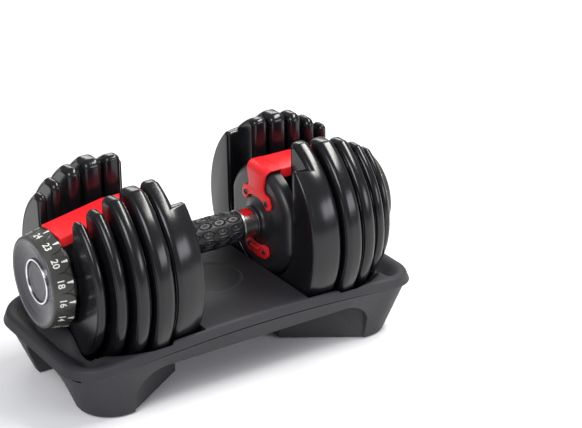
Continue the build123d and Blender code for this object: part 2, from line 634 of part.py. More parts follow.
def tray_base_shell():
    outer = tray_body(0)
    skirt = outer - tray_body(TRAY_WALL)
    reach = BIG / 2
    arch = Pos(0, (ARCH_HEIGHT - reach) / 2) * Rectangle(2 * ARCH_HALF_LENGTH, ARCH_HEIGHT + reach)
    arch = fillet(arch.vertices().sort_by(Axis.Y)[-2:], ARCH_CORNER)
    skirt -= extrude(Plane.XZ * arch, amount=reach, both=True)
    end_arch = Pos(0, (END_ARCH_HEIGHT - reach) / 2) * Rectangle(2 * END_ARCH_HALF, END_ARCH_HEIGHT + reach)
    end_arch = fillet(end_arch.vertices().sort_by(Axis.Y)[-2:], END_ARCH_CORNER)
    skirt -= extrude(Plane.YZ * end_arch, amount=reach, both=True)
    feet_top = ARCH_HEIGHT + 6
    foot = outer & extrude(foot_plan(0), amount=feet_top)
    hollow = extrude(Plane.XY.offset(FOOT_LIFT + FOOT_FLOOR) * foot_plan(TRAY_WALL), amount=feet_top)
    foot -= tray_body(TRAY_WALL) & hollow
    shell = skirt
    for mirror_x in (False, True):
        for mirror_y in (False, True):
            piece = mirror(foot, about=Plane.YZ) if mirror_x else foot
            piece = mirror(piece, about=Plane.XZ) if mirror_y else piece
            shell += piece
    shell &= below_curve(RIM_TOP - RIM_DEPTH - PARTING_GAP)
    shell -= box(-reach, reach, -reach, reach, -10, FOOT_LIFT)
    grow = TRAY_WALL + TUB_CLEARANCE
    half = BASIN_HALF_WIDTH + grow
    for turn in (0, 180):
        shell -= Rot(0, 0, turn) * wells(grow, False)
        basin = box(WELL_END_X - TUB_CLEARANCE, TRAY_LENGTH / 2 - BASIN_END_GAP + grow, -half, half,
                    BASIN_FLOOR - grow, RIM_TOP)
        shell -= Rot(0, 0, turn) * basin
    for x in (PAD_AT[0], -PAD_AT[0]):
        for y in (PAD_AT[1], -PAD_AT[1]):
            shell -= Pos(x, y, FOOT_LIFT + PAD_RECESS / 2) * Cylinder(PAD_RADIUS + 0.2, PAD_RECESS)
    for x in (SCREW_AT[0], -SCREW_AT[0]):
        for y in (SCREW_AT[1], -SCREW_AT[1]):
            shell -= screw_shank(x, y)
            shell -= Pos(x, y, FOOT_LIFT + PAD_RECESS / 2) * Cylinder(SCREW_HEAD_RADIUS + 0.2, PAD_RECESS)
    return shell


def tray_foot_pads():
    height = FOOT_LIFT + PAD_RECESS
    pad = Cylinder(PAD_RADIUS, height)
    pad = Pos(0, 0, height / 2) * chamfer(pad.faces().sort_by(Axis.Z)[0].edges(), 0.6)
    return [Pos(x, y, 0) * pad for x in (PAD_AT[0], -PAD_AT[0]) for y in (PAD_AT[1], -PAD_AT[1])]


def tray_screws():
    screws = []
    for x in (SCREW_AT[0], -SCREW_AT[0]):
        for y in (SCREW_AT[1], -SCREW_AT[1]):
            thick = PAD_RECESS - 0.2
            head = Pos(x, y, FOOT_LIFT + PAD_RECESS - thick / 2) * Cylinder(SCREW_HEAD_RADIUS, thick)
            cross = box(x - 2.2, x + 2.2, y - 0.5, y + 0.5, 0, FOOT_LIFT + 1)
            cross += box(x - 0.5, x + 0.5, y - 2.2, y + 2.2, 0, FOOT_LIFT + 1)
            screws.append(head + screw_shank(x, y) - cross)
    return screws


def tray_lock_posts():
    """Upright posts in the wells that hold the lock pins up while the handle is docked."""
    floor_z = AXIS_HEIGHT - PLATE_RADIUS[-1] - WELL_RADIAL
    half = POST_SIDE / 2
    post = box(PIN_X - half, PIN_X + half, -half, half, floor_z - 2, PIN_TIP_HEIGHT - PIN_TIP_GAP)
    post &= wells(0, False)
    return [post, left_of(post)]


# ---- all nodes --------------------------------------------------------------------------
def build():
    nodes = {
        "tray_top_shell": tray_top_shell(),
        "tray_base_shell": tray_base_shell(),
        "tray_foot_pads": tray_foot_pads(),
        "tray_screws": tray_screws(),
        "tray_lock_posts": tray_lock_posts(),
        "shaft": shaft(),
        "handle_tube": handle_tube(),
        "grip": grip(),
        "bracket_bolts": bracket_bolts() + [left_of(b) for b in bracket_bolts()],
        "shaft_end_nuts": [shaft_end_nut(), left_of(shaft_end_nut())],
    }
    sided = {
        "collar": collar(), "collar_insert": collar_insert(), "inner_disc": inner_disc(),
        "top_bracket": top_bracket(), "lower_bracket": lower_bracket(), "end_plate": end_plate(),
        "lock_pin": lock_pin(), "lock_spring": lock_spring(),
        "selector_sleeve": selector_sleeve(), "dial_ring": dial_ring(), "dial_face": dial_face(),
        "dial_trim_ring": dial_trim_ring(), "dial_cap": dial_cap(),
        "selector_discs": [selector_disc(k) for k in range(PLATES)],
    }
    for k in range(PLATES):
        sided["plate_%d_shell" % (k + 1)] = plate_shell(k)
        sided["plate_%d_core" % (k + 1)] = plate_core(k)
    for name, part in sided.items():
        parts = part if isinstance(part, list) else [part]
        nodes["right_" + name] = parts
        nodes["left_" + name] = [left_of(p) for p in parts]
    return nodes


def write(nodes):
    os.makedirs("parts", exist_ok=True)
    for name, part in nodes.items():
        parts = part if isinstance(part, list) else [part]
        solids = [s for p in parts for s in p.solids()]
        shape = solids[0] if len(solids) == 1 else Compound(children=solids)
        export_step(shape, "parts/%s.step" % name)
        print(name, len(solids))


write(build())
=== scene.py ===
import json
from math import acos, atan2, cos, hypot, pi, radians, sin, sqrt, tan

import bmesh
import bpy
from mathutils import Matrix, Vector


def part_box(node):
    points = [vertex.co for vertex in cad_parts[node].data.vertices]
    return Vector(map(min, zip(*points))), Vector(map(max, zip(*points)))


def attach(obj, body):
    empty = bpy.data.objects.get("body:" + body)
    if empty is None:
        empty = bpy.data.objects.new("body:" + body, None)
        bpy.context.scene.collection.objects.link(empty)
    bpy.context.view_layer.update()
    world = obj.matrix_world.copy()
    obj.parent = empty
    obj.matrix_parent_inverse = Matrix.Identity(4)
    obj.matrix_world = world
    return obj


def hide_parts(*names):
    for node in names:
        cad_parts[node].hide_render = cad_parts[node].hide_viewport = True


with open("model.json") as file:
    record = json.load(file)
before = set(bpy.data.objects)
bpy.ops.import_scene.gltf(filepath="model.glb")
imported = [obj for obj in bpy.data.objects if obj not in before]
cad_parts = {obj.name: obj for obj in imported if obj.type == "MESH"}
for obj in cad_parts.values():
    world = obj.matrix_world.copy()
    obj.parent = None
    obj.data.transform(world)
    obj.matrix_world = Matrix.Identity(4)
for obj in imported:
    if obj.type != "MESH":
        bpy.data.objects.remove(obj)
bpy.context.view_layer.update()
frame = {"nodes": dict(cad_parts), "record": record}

# ---- frame and view, in metres and degrees; the pieces' own sizes further down are in mm -----
MM = 0.001
SIDES = {"right": 1, "left": -1}
PLATES = 5
SETTINGS = ("24", "2", "3", "4", "5", "7", "8", "9", "10", "11", "14", "16", "18", "20", "23")
AXIS_Z = sum(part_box("shaft"), Vector()).z / 2      # height of the handle axis

VIEW_AZIMUTH = -32.82
VIEW_ELEVATION = 24.5
VIEW_ROLL = -0.67
VIEW_LENS = 116.3
VIEW_AIM = Vector((0.030, -0.112, 0.184))
VIEW_DISTANCE = 1.85


# ---- mesh helpers ----------------------------------------------------------------------------
SAME_POINT = 1e-7              # points closer than this, in metres, become one
STRAIGHT_HALF_ANGLE = 1.53     # a corner flatter than this is left as it is
SIDE_SHARE = 0.49              # most of a side that the rounding of one corner may take


def solid(name, verts, faces, sharp=32.0):
    """A mesh piece from points in metres, smooth except over edges sharper than this."""
    mesh = bpy.data.meshes.new(name)
    mesh.from_pydata([tuple(v) for v in verts], [], faces)
    work = bmesh.new()
    work.from_mesh(mesh)
    bmesh.ops.remove_doubles(work, verts=work.verts, dist=SAME_POINT)
    bmesh.ops.recalc_face_normals(work, faces=work.faces)
    work.to_mesh(mesh)
    work.free()
    mesh.shade_smooth()
    mesh.set_sharp_from_angle(angle=radians(sharp))
    piece = bpy.data.objects.new(name, mesh)
    bpy.context.scene.collection.objects.link(piece)
    return piece


def joined(name, parts):
    """Several pieces as one mesh."""
    with bpy.context.temp_override(active_object=parts[0], selected_editable_objects=parts):
        bpy.ops.object.join()
    parts[0].name = name
    parts[0].data.name = name
    return parts[0]


def about_axis(side, x, angle, radius):
    """Point round the handle axis; the angle runs from straight up, towards -Y on the right."""
    s = SIDES[side]
    return Vector((s * x, -s * radius * sin(angle), AXIS_Z + radius * cos(angle)))


def rounded(corners, radius, steps):
    """A closed outline whose corners are rounded off; a corner may carry its own radius."""
    out, count = [], len(corners)
    for i, corner in enumerate(corners):
        p = Vector(corner[:2])
        r = corner[2] if len(corner) > 2 else radius
        if r <= 0:
            out.append(p)
            continue
        a, b = Vector(corners[i - 1][:2]) - p, Vector(corners[(i + 1) % count][:2]) - p
        la, lb = a.length, b.length
        a, b = a / la, b / lb
        half = acos(max(-1.0, min(1.0, a.dot(b)))) / 2
        if half > STRAIGHT_HALF_ANGLE:
            out.append(p)
            continue
        cut = min(r / tan(half), SIDE_SHARE * la, SIDE_SHARE * lb)
        start, end = p + a * cut, p + b * cut
        for k in range(steps + 1):
            t = k / steps
            out.append(start * (1 - t) ** 2 + p * 2 * t * (1 - t) + end * t * t)
    return out


def lathe(name, side, profile, segments=128, shape=None):
    """Revolve a closed (x, radius) profile in millimetres; shape(x, r, angle) may change r."""
    rings = len(profile)
    verts, faces = [], []
    for j in range(segments):
        angle = 2 * pi * j / segments
        for x, r in profile:
            r = shape(x, r, angle) if shape else r
            verts.append(about_axis(side, x * MM, angle, r * MM))
    for j in range(segments):
        here, there = j * rings, (j + 1) % segments * rings
        for i in range(rings):
            k = (i + 1) % rings
            faces.append((here + i, here + k, there + k, there + i))
    return solid(name, verts, faces)


def stacked(name, side, loops, sharp=32.0):
    """A solid through loops of equal count, each (x, [(y, height above the axis)]) in mm."""
    s = SIDES[side]
    count = len(loops[0][1])
    verts, faces = [], []
    for x, points in loops:
        verts += [(s * x * MM, s * y * MM, AXIS_Z + z * MM) for y, z in points]
    for k in range(len(loops) - 1):
        here, there = k * count, (k + 1) * count
        for i in range(count):
            j = (i + 1) % count
            faces.append((here + i, here + j, there + j, there + i))
    faces.append(tuple(range(count)))
    faces.append(tuple((len(loops) - 1) * count + i for i in range(count)))
    return solid(name, verts, faces, sharp)


def arc(centre, radius, start, end, steps):
    """Points on an arc; angles in radians from straight up towards +y."""
    return [(centre[0] + radius * sin(start + (end - start) * i / steps),
             centre[1] + radius * cos(start + (end - start) * i / steps))
            for i in range(steps + 1)]


def smooth_step(t):
    """From 0 to 1 with level ends."""
    t = max(0.0, min(1.0, t))
    return t * t * (3 - 2 * t)


# ---- finishes: shared effects as node groups -------------------------------------------------
# features per metre of each effect
WAVES, PATCHES, DRIFTS, CHIPS = 28.0, 14.0, 9.0, 160.0
# hairline rubs: how they are stretched and turned, and the noise value where one starts
HAIR_STRETCH, HAIR_TURN, HAIR_START = (25.0, 260.0, 260.0), (0.3, 0.5, 0.8), 0.66
# wear: the pointiness at which an edge counts as one, and how quickly it grows from there
EDGE_START, EDGE_GAIN = 0.53, 9.0


def new_group(name, inputs, outputs):
    """A shader node group with named sockets; returns it with its input and output nodes."""
    tree = bpy.data.node_groups.new(name, "ShaderNodeTree")
    for label, kind, value in inputs:
        socket = tree.interface.new_socket(label, in_out="INPUT", socket_type=kind)
        socket.default_value = value
    for label, kind in outputs:
        tree.interface.new_socket(label, in_out="OUTPUT", socket_type=kind)
    return tree, tree.nodes.new("NodeGroupInput"), tree.nodes.new("NodeGroupOutput")


def noise_node(tree, coords, scale, detail=3.0, rough=0.5):
    """Noise over the object's own coordinates; the scale is a number or a socket."""
    node = tree.nodes.new("ShaderNodeTexNoise")
    node.inputs["Detail"].default_value = detail
    node.inputs["Roughness"].default_value = rough
    tree.links.new(coords, node.inputs["Vector"])
    if isinstance(scale, bpy.types.NodeSocket):
        tree.links.new(scale, node.inputs["Scale"])
    else:
        node.inputs["Scale"].default_value = scale
    return node.outputs["Fac"]


def math_node(tree, kind, a, b=0.0, clamp=False):
    """One calculation on two numbers or sockets."""
    node = tree.nodes.new("ShaderNodeMath")
    node.operation = kind
    node.use_clamp = clamp
    for socket, value in zip(node.inputs, (a, b)):
        if isinstance(value, bpy.types.NodeSocket):
            tree.links.new(value, socket)
        else:
            socket.default_value = value
    return node.outputs[0]


def moulded_grain():
    """Fine spark-eroded texture of a moulding tool, over a slow waviness of the wall."""
    tree, start, end = new_group("moulded_grain", [
        ("Grain scale", "NodeSocketFloat", 900.0), ("Grain", "NodeSocketFloat", 0.5),
        ("Waviness", "NodeSocketFloat", 0.3)], [("Height", "NodeSocketFloat")])
    coords = tree.nodes.new("ShaderNodeTexCoord").outputs["Object"]
    fine = noise_node(tree, coords, start.outputs["Grain scale"], 2.0, 0.65)
    slow = noise_node(tree, coords, WAVES, 1.0)
    fine = math_node(tree, "MULTIPLY", fine, start.outputs["Grain"])
    slow = math_node(tree, "MULTIPLY", slow, start.outputs["Waviness"])
    tree.links.new(math_node(tree, "ADD", fine, slow), end.inputs["Height"])
    return tree


def handling_marks():
    """Where fingers and cloths have left a duller or brighter skin, with faint hairline rubs."""
    tree, start, end = new_group("handling_marks", [
        ("Base roughness", "NodeSocketFloat", 0.3), ("Spread", "NodeSocketFloat", 0.1),
        ("Rubs", "NodeSocketFloat", 0.04)], [("Roughness", "NodeSocketFloat")])
    coords = tree.nodes.new("ShaderNodeTexCoord").outputs["Object"]
    patches = math_node(tree, "SUBTRACT", noise_node(tree, coords, PATCHES, 4.0, 0.6), 0.5)
    patches = math_node(tree, "MULTIPLY", patches, start.outputs["Spread"])
    stretch = tree.nodes.new("ShaderNodeMapping")
    stretch.inputs["Scale"].default_value = HAIR_STRETCH
    stretch.inputs["Rotation"].default_value = HAIR_TURN
    tree.links.new(coords, stretch.inputs["Vector"])
    hairs = noise_node(tree, stretch.outputs["Vector"], 1.0, 2.0)
    hairs = math_node(tree, "GREATER_THAN", hairs, HAIR_START)
    hairs = math_node(tree, "MULTIPLY", hairs, start.outputs["Rubs"])
    total = math_node(tree, "ADD", patches, hairs)
    total = math_node(tree, "ADD", total, start.outputs["Base roughness"], True)
    tree.links.new(total, end.inputs["Roughness"])
    return tree


def tone_drift():
    """A colour that drifts a little over the surface and is lighter along worn edges."""
    tree, start, end = new_group("tone_drift", [
        ("Colour", "NodeSocketColor", (0.1, 0.1, 0.1, 1)),
        ("Second colour", "NodeSocketColor", (0.1, 0.1, 0.1, 1)),
        ("Worn colour", "NodeSocketColor", (0.2, 0.2, 0.2, 1)),
        ("Wear", "NodeSocketFloat", 0.2)],
        [("Colour", "NodeSocketColor"), ("Edge", "NodeSocketFloat")])
    coords = tree.nodes.new("ShaderNodeTexCoord").outputs["Object"]
    drift = tree.nodes.new("ShaderNodeMix")
    drift.data_type = "RGBA"
    tree.links.new(noise_node(tree, coords, DRIFTS), drift.inputs["Factor"])
    tree.links.new(start.outputs["Colour"], drift.inputs["A"])
    tree.links.new(start.outputs["Second colour"], drift.inputs["B"])
    point = tree.nodes.new("ShaderNodeNewGeometry").outputs["Pointiness"]
    edge = math_node(tree, "SUBTRACT", point, EDGE_START)
    edge = math_node(tree, "MULTIPLY", edge, EDGE_GAIN, True)
    broken = math_node(tree, "MULTIPLY", edge, noise_node(tree, coords, CHIPS, 4.0, 0.7))
    edge = math_node(tree, "MULTIPLY", broken, start.outputs["Wear"], True)
    worn = tree.nodes.new("ShaderNodeMix")
    worn.data_type = "RGBA"
    tree.links.new(edge, worn.inputs["Factor"])
    tree.links.new(drift.outputs["Result"], worn.inputs["A"])
    tree.links.new(start.outputs["Worn colour"], worn.inputs["B"])
    tree.links.new(worn.outputs["Result"], end.inputs["Colour"])
    tree.links.new(edge, end.inputs["Edge"])
    return tree


def turning_lines():
    """Fine lathe lines round the handle axis."""
    tree, start, end = new_group("turning_lines", [
        ("Lines", "NodeSocketFloat", 2500.0)], [("Height", "NodeSocketFloat")])
    coords = tree.nodes.new("ShaderNodeTexCoord").outputs["Object"]
    along = tree.nodes.new("ShaderNodeSeparateXYZ")
    tree.links.new(coords, along.inputs[0])
    line = tree.nodes.new("ShaderNodeTexNoise")
    line.noise_dimensions = "1D"
    line.inputs["Detail"].default_value = 2.0
    tree.links.new(along.outputs["X"], line.inputs["W"])
    tree.links.new(start.outputs["Lines"], line.inputs["Scale"])
    tree.links.new(line.outputs["Fac"], end.inputs["Height"])
    return tree


GRAIN, MARKS, DRIFT, LINES = moulded_grain(), handling_marks(), tone_drift(), turning_lines()


def placed(material, tree, values):
    """A shared effect in a material, with that material's own values."""
    node = material.node_tree.nodes.new("ShaderNodeGroup")
    node.node_tree = tree
    for label, value in values.items():
        node.inputs[label].default_value = value
    return node


def finish_of(name, colour, second, roughness, spread=0.1, rubs=0.03, metallic=0.0, worn=None,
              wear=0.0, grain=0.4, grain_scale=900.0, waviness=0.2, bump=0.02, lines=0.0,
              specular=0.5):
    """One finish: a Principled shader fed by the shared effects; the bump is in millimetres."""
    material = bpy.data.materials.new(name)
    material.use_nodes = True
    nodes, links = material.node_tree.nodes, material.node_tree.links
    shader = nodes["Principled BSDF"]
    shader.inputs["Metallic"].default_value = metallic
    shader.inputs["Specular IOR Level"].default_value = specular
    tone = placed(material, DRIFT, {
        "Colour": (*colour, 1), "Second colour": (*second, 1),
        "Worn colour": (*(worn or second), 1), "Wear": wear})
    links.new(tone.outputs["Colour"], shader.inputs["Base Color"])
    marks = placed(material, MARKS, {
        "Base roughness": roughness, "Spread": spread, "Rubs": rubs})
    links.new(marks.outputs["Roughness"], shader.inputs["Roughness"])
    relief = nodes.new("ShaderNodeBump")
    relief.inputs["Strength"].default_value = 1.0
    relief.inputs["Distance"].default_value = bump * MM
    if lines:
        surface = placed(material, LINES, {"Lines": lines})
    else:
        surface = placed(material, GRAIN, {
            "Grain scale": grain_scale, "Grain": grain, "Waviness": waviness})
    links.new(surface.outputs["Height"], relief.inputs["Height"])
    links.new(relief.outputs["Normal"], shader.inputs["Normal"])
    return material


def all_finishes():
    """One finish for each material slot of the record, and the dials' print."""
    return {
        "plate_gloss": finish_of(
            "glossy_black_shell", (0.0045, 0.0045, 0.0055), (0.007, 0.007, 0.009), 0.20, 0.10,
            0.05, worn=(0.03, 0.03, 0.03), wear=0.4, bump=0.012, grain=0.15, waviness=1.6,
            specular=0.38),
        "tray_plastic": finish_of(
            "charcoal_tray_plastic", (0.026, 0.025, 0.029), (0.033, 0.032, 0.036), 0.56, 0.14,
            0.05, worn=(0.09, 0.09, 0.09), wear=0.5, bump=0.05, grain=0.8, specular=0.25),
        "disc_plastic": finish_of(
            "satin_black_nylon", (0.010, 0.010, 0.012), (0.016, 0.016, 0.018), 0.36, 0.12, 0.04,
            worn=(0.05, 0.05, 0.05), wear=0.4, bump=0.035, grain=0.8),
        "selector_plastic": finish_of(
            "selector_nylon", (0.018, 0.018, 0.02), (0.026, 0.026, 0.028), 0.42),
        "dial_plastic": finish_of(
            "dial_rim_plastic", (0.030, 0.031, 0.027), (0.040, 0.040, 0.035), 0.40, 0.12, 0.04,
            worn=(0.10, 0.10, 0.09), wear=0.6, bump=0.04, grain=0.8),
        "dial_face_plastic": finish_of(
            "dial_face_plastic", (0.022, 0.022, 0.030), (0.028, 0.028, 0.038), 0.27, 0.10, 0.05,
            worn=(0.07, 0.07, 0.08), wear=0.4, bump=0.02, grain=0.4),
        "dial_cap_plastic": finish_of(
            "dial_cap_plastic", (0.026, 0.026, 0.034), (0.034, 0.032, 0.040), 0.38, 0.12, 0.03,
            bump=0.03, grain=0.7),
        "chrome_trim": finish_of(
            "polished_trim", (0.78, 0.78, 0.80), (0.70, 0.70, 0.73), 0.10, 0.06, 0.04,
            metallic=1.0, bump=0.004),
        "red_paint": finish_of(
            "red_powder_coat", (0.74, 0.010, 0.016), (0.80, 0.014, 0.022), 0.42, 0.10, 0.04,
            worn=(0.85, 0.10, 0.09), wear=0.5, bump=0.03, grain=0.7, grain_scale=1100.0,
            specular=0.35),
        "red_plastic": finish_of(
            "red_moulded_insert", (0.64, 0.008, 0.012), (0.72, 0.010, 0.016), 0.20, 0.08),
        "collar_metal": finish_of(
            "turned_collar_metal", (0.30, 0.30, 0.31), (0.36, 0.36, 0.37), 0.30, 0.12, 0.05,
            metallic=1.0, bump=0.006, lines=2600.0),
        "turned_steel": finish_of(
            "turned_steel", (0.42, 0.42, 0.43), (0.5, 0.5, 0.5), 0.32, 0.12, 0.05,
            metallic=1.0, bump=0.006, lines=2200.0),
        "zinc_steel": finish_of(
            "zinc_plate", (0.52, 0.52, 0.50), (0.60, 0.58, 0.52), 0.36, 0.14, metallic=1.0,
            bump=0.01),
        "plate_steel": finish_of(
            "cut_steel_core", (0.20, 0.20, 0.20), (0.27, 0.26, 0.25), 0.5, 0.16, metallic=1.0),
        "bolt_steel": finish_of(
            "black_oxide_bolts", (0.030, 0.030, 0.032), (0.05, 0.05, 0.052), 0.34, 0.12,
            metallic=0.6, worn=(0.3, 0.3, 0.3), wear=0.5, bump=0.01),
        "black_steel": finish_of(
            "black_coated_sheet", (0.014, 0.014, 0.015), (0.022, 0.022, 0.023), 0.36, 0.12,
            worn=(0.2, 0.2, 0.2), wear=0.4, bump=0.03, grain=0.7),
        "spring_steel": finish_of(
            "drawn_wire", (0.38, 0.38, 0.39), (0.46, 0.46, 0.46), 0.26, 0.1, metallic=1.0),
        "grip_rubber": finish_of(
            "grip_rubber", (0.0065, 0.0065, 0.008), (0.010, 0.010, 0.012), 0.38, 0.14, 0.06,
            worn=(0.03, 0.03, 0.03), wear=0.5, bump=0.03, grain=0.8, specular=0.32),
        "foot_rubber": finish_of(
            "foot_rubber", (0.012, 0.012, 0.012), (0.02, 0.02, 0.02), 0.62, 0.14, bump=0.05,
            grain=0.9),
        "print": finish_of(
            "printed_white", (0.78, 0.78, 0.76), (0.70, 0.70, 0.68), 0.42, 0.1, bump=0.008),
    }


FINISH = all_finishes()


def dress(piece, slot, body=None, *nodes):
    """Give a piece its finish and, if it is a new piece, its body and the node it stands for."""
    piece.data.materials.clear()
    piece.data.materials.append(FINISH[slot])
    if body:
        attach(piece, body)
        if nodes:
            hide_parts(*nodes)


def dress_frame():
    """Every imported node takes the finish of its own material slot."""
    for part in frame["record"]["subparts"]:
        dress(frame["nodes"][part["node"]], part["material_slot"])


# ---- weight plates ---------------------------------------------------------------------------
PLATE_RADIUS = (86.0, 98.0, 106.0, 110.5, 106.0)
PLATE_THICKNESS = (10.0, 11.5, 14.6, 19.0, 17.8)
PLATE_TIP = (72.0, 82.0, 91.5, 96.0, 96.0)      # height of the fins above the axis
PLATE_CORNER = 9.0                              # rounding of the fins' outer corners
SLOT_HALF = 33.5
HOOK_SWEEP = radians(15)
HOOK_INNER, HOOK_OUTER, HOOK_ROOT = 0.5, 4.1, 1.0      # beyond the slot, and into the plate
# arms of the innermost plate, either side of the end disc's pocket
ARM_INNER_X = 63.3
ARM_RADIUS, ARM_TIP, ARM_CORNER = 103.0, 77.0, 6.0
ARM_ROOT, ARM_ROOT_STEPS = 6.2, 6               # how far the arm runs into the plate
ARM_STEP_DOWN = 0.06                            # the arm's root stays this far under the rim
POCKET_RADIUS = 61.5
NOTCH_HALF, NOTCH_CORNER = 9.0, 3.6
# smallest rounding, and the largest at a fin's tip as a share of the fin's width
LEAST_ROUNDING, TIP_SHARE = 0.3, 0.44
# segments along the rim, the rim of a notched half, the slot, its wall and the roundings
ROUND_STEPS, NOTCHED_STEPS, SLOT_STEPS, WALL_STEPS = 84, 64, 28, 4
OUTER_STEPS, INNER_STEPS, LOW_STEPS, HOOK_STEPS = 10, 8, 6, 16
# moulded edge, from the face to the rim: depth below the face, and how far in from the outline
EDGE = ((0.0, 6.2), (0.0, 5.3), (0.25, 5.0), (0.85, 4.9), (0.85, 4.4), (0.25, 4.25), (0.1, 3.95),
        (0.25, 3.6), (0.95, 3.5), (0.95, 3.2), (0.8, 2.95), (1.2, 2.3), (1.9, 1.6), (2.8, 0.95),
        (3.9, 0.45), (5.2, 0.13), (6.6, 0.0))
ARM_EDGE = ((0.0, 3.1), (0.1, 2.7), (0.75, 2.55), (0.75, 2.2), (0.5, 1.9), (0.9, 1.2),
            (1.6, 0.6), (2.6, 0.2), (4.0, 0.0))


def half_outline(radius, slot, tip, corner, inset, notch=None):
    """The +y half of a slotted plate, up the rim from the bottom, over the fin, down the slot."""
    radius, slot, tip = radius - inset, slot + inset, tip - inset
    width = sqrt(radius ** 2 - tip ** 2) - slot
    r = max(LEAST_ROUNDING, min(corner - inset, TIP_SHARE * width))
    cy = sqrt((radius - r) ** 2 - (tip - r) ** 2)
    top_angle = atan2(cy, tip - r)
    if notch is None:
        points = arc((0, 0), radius, pi, top_angle, ROUND_STEPS)
    else:
        low = max(LEAST_ROUNDING, NOTCH_CORNER - inset)
        side = notch + inset + low
        deep = -sqrt((radius - low) ** 2 - side ** 2)
        low_angle = atan2(side, deep)
        points = arc((side, deep), low, 1.5 * pi, low_angle, LOW_STEPS)
        points += arc((0, 0), radius, low_angle, top_angle, NOTCHED_STEPS)
    points += arc((cy, tip - r), r, top_angle, 0, OUTER_STEPS)[1:]
    points += arc((slot + r, tip - r), r, 0, -pi / 2, INNER_STEPS)
    points += [(slot, tip - r - (tip - r) * k / WALL_STEPS) for k in range(1, WALL_STEPS)]
    if notch is None:
        return points + arc((0, 0), slot, pi / 2, pi, SLOT_STEPS)
    high = -sqrt((slot + low) ** 2 - side ** 2)
    end = atan2(side, high)
    points += arc((0, 0), slot, pi / 2, end, SLOT_STEPS)
    return points + arc((side, high), low, end - pi, -pi / 2, LOW_STEPS)[1:]


def whole_outline(*sizes):
    """Both halves of a slotted plate as one closed outline."""
    half = half_outline(*sizes)
    return half + [(-y, z) for y, z in reversed(half[1:-1])]


def edged(x0, x1, edge, outline):
    """Loops of a slab between two faces that both carry the same moulded edge."""
    fit = min(1.0, (x1 - x0) / 2 / edge[-1][0])
    loops = [(x0 + depth * fit, outline(inset)) for depth, inset in edge]
    return loops + [(x1 - depth * fit, outline(inset)) for depth, inset in reversed(edge)]


def hook(side, x0, x1):
    """Hook under the slot that the selector's lip lifts."""
    inner = arc((0, 0), SLOT_HALF + HOOK_INNER, pi - HOOK_SWEEP, pi + HOOK_SWEEP, HOOK_STEPS)
    outer = arc((0, 0), SLOT_HALF + HOOK_OUTER, pi + HOOK_SWEEP, pi - HOOK_SWEEP, HOOK_STEPS)
    return stacked("hook", side, [(x0 - HOOK_ROOT, inner + outer), (x1, inner + outer)])


def arm(side, turn, end, plate_radius):
    """One arm of the innermost plate; behind its moulded edge it grows into the plate's rim."""
    def outline(radius, inset):
        half = half_outline(radius, POCKET_RADIUS, ARM_TIP, ARM_CORNER, inset, NOTCH_HALF)
        return [(turn * y, z) for y, z in half]

    loops = [(ARM_INNER_X + depth, outline(ARM_RADIUS, inset)) for depth, inset in ARM_EDGE]
    start, grow = loops[-1][0], plate_radius - ARM_RADIUS - ARM_STEP_DOWN
    for i in range(1, ARM_ROOT_STEPS + 1):
        radius = ARM_RADIUS + grow * sin(pi / 2 * i / ARM_ROOT_STEPS)
        loops.append((start + (end - start) * i / ARM_ROOT_STEPS, outline(radius, 0.0)))
    return stacked("arm", side, loops)


def plate(side, k):
    """One plate shell round the core that the frame has in it."""
    name = "%s_plate_%d" % (side, k + 1)
    node = name + "_shell"
    low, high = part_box("%s_plate_%d_core" % (side, k + 1))
    middle, half = abs(low.x + high.x) / 2 / MM, PLATE_THICKNESS[k] / 2
    x0, x1 = middle - half, middle + half
    loops = edged(x0, x1, EDGE, lambda inset: whole_outline(
        PLATE_RADIUS[k], SLOT_HALF, PLATE_TIP[k], PLATE_CORNER, inset))
    box_low, box_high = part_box(node)
    reach = max(abs(box_low.x), abs(box_high.x)) / MM
    parts = [stacked(name, side, loops), hook(side, x1, reach)]
    if k == PLATES - 1:
        parts += [arm(side, turn, x0 + ARM_ROOT, PLATE_RADIUS[k]) for turn in (1, -1)]
    dress(joined(name, parts), "plate_gloss", name, node)


# ---- dials -----------------------------------------------------------------------------------
DIAL_BACK_X, DIAL_FRONT_X = 178.0, 200.0
DIAL_REAR_RADIUS, DIAL_FRONT_RADIUS = 51.0, 46.6
DIAL_SLEEVE_RADIUS = 9.6
DIAL_WEB_X = 181.0                  # front of the rim's rear wall, where the cap stands
DIAL_ROUNDING = 1.3                 # at the rim's rear edge
DIAL_BAND, DIAL_BAND_STEPS = 20.0, 30
STEP = 2 * pi / len(SETTINGS)
STEP_SEGMENTS = 32
# rounded end of the pad under each number: length, half width, height and edge
PAD_LENGTH, PAD_HALF, PAD_RISE, PAD_EDGE = 11.5, 9.7, 1.3, 0.10
PAD_FADE_START, PAD_FADE_RUN = 18.5, 6      # where the cut between the pads runs out
PAD_SKIN, PAD_PLAIN = 0.2, 3.5              # depth of the pads' skin, and the plain front edge
DIGIT_MIDDLE_X = 191.6
DIGIT_SIZE, DIGIT_BOLD, DIGIT_STEPS, DIGIT_WELD = 9.6, 0.13, 5, 1e-4
PRINT_THICKNESS, PRINT_GAP = 0.12, 0.03
# the pointer's ends behind the number's middle, and its half widths there
POINTER_NEAR, POINTER_FAR, POINTER_SLIM, POINTER_WIDE = 6.1, 12.3, 0.55, 1.5
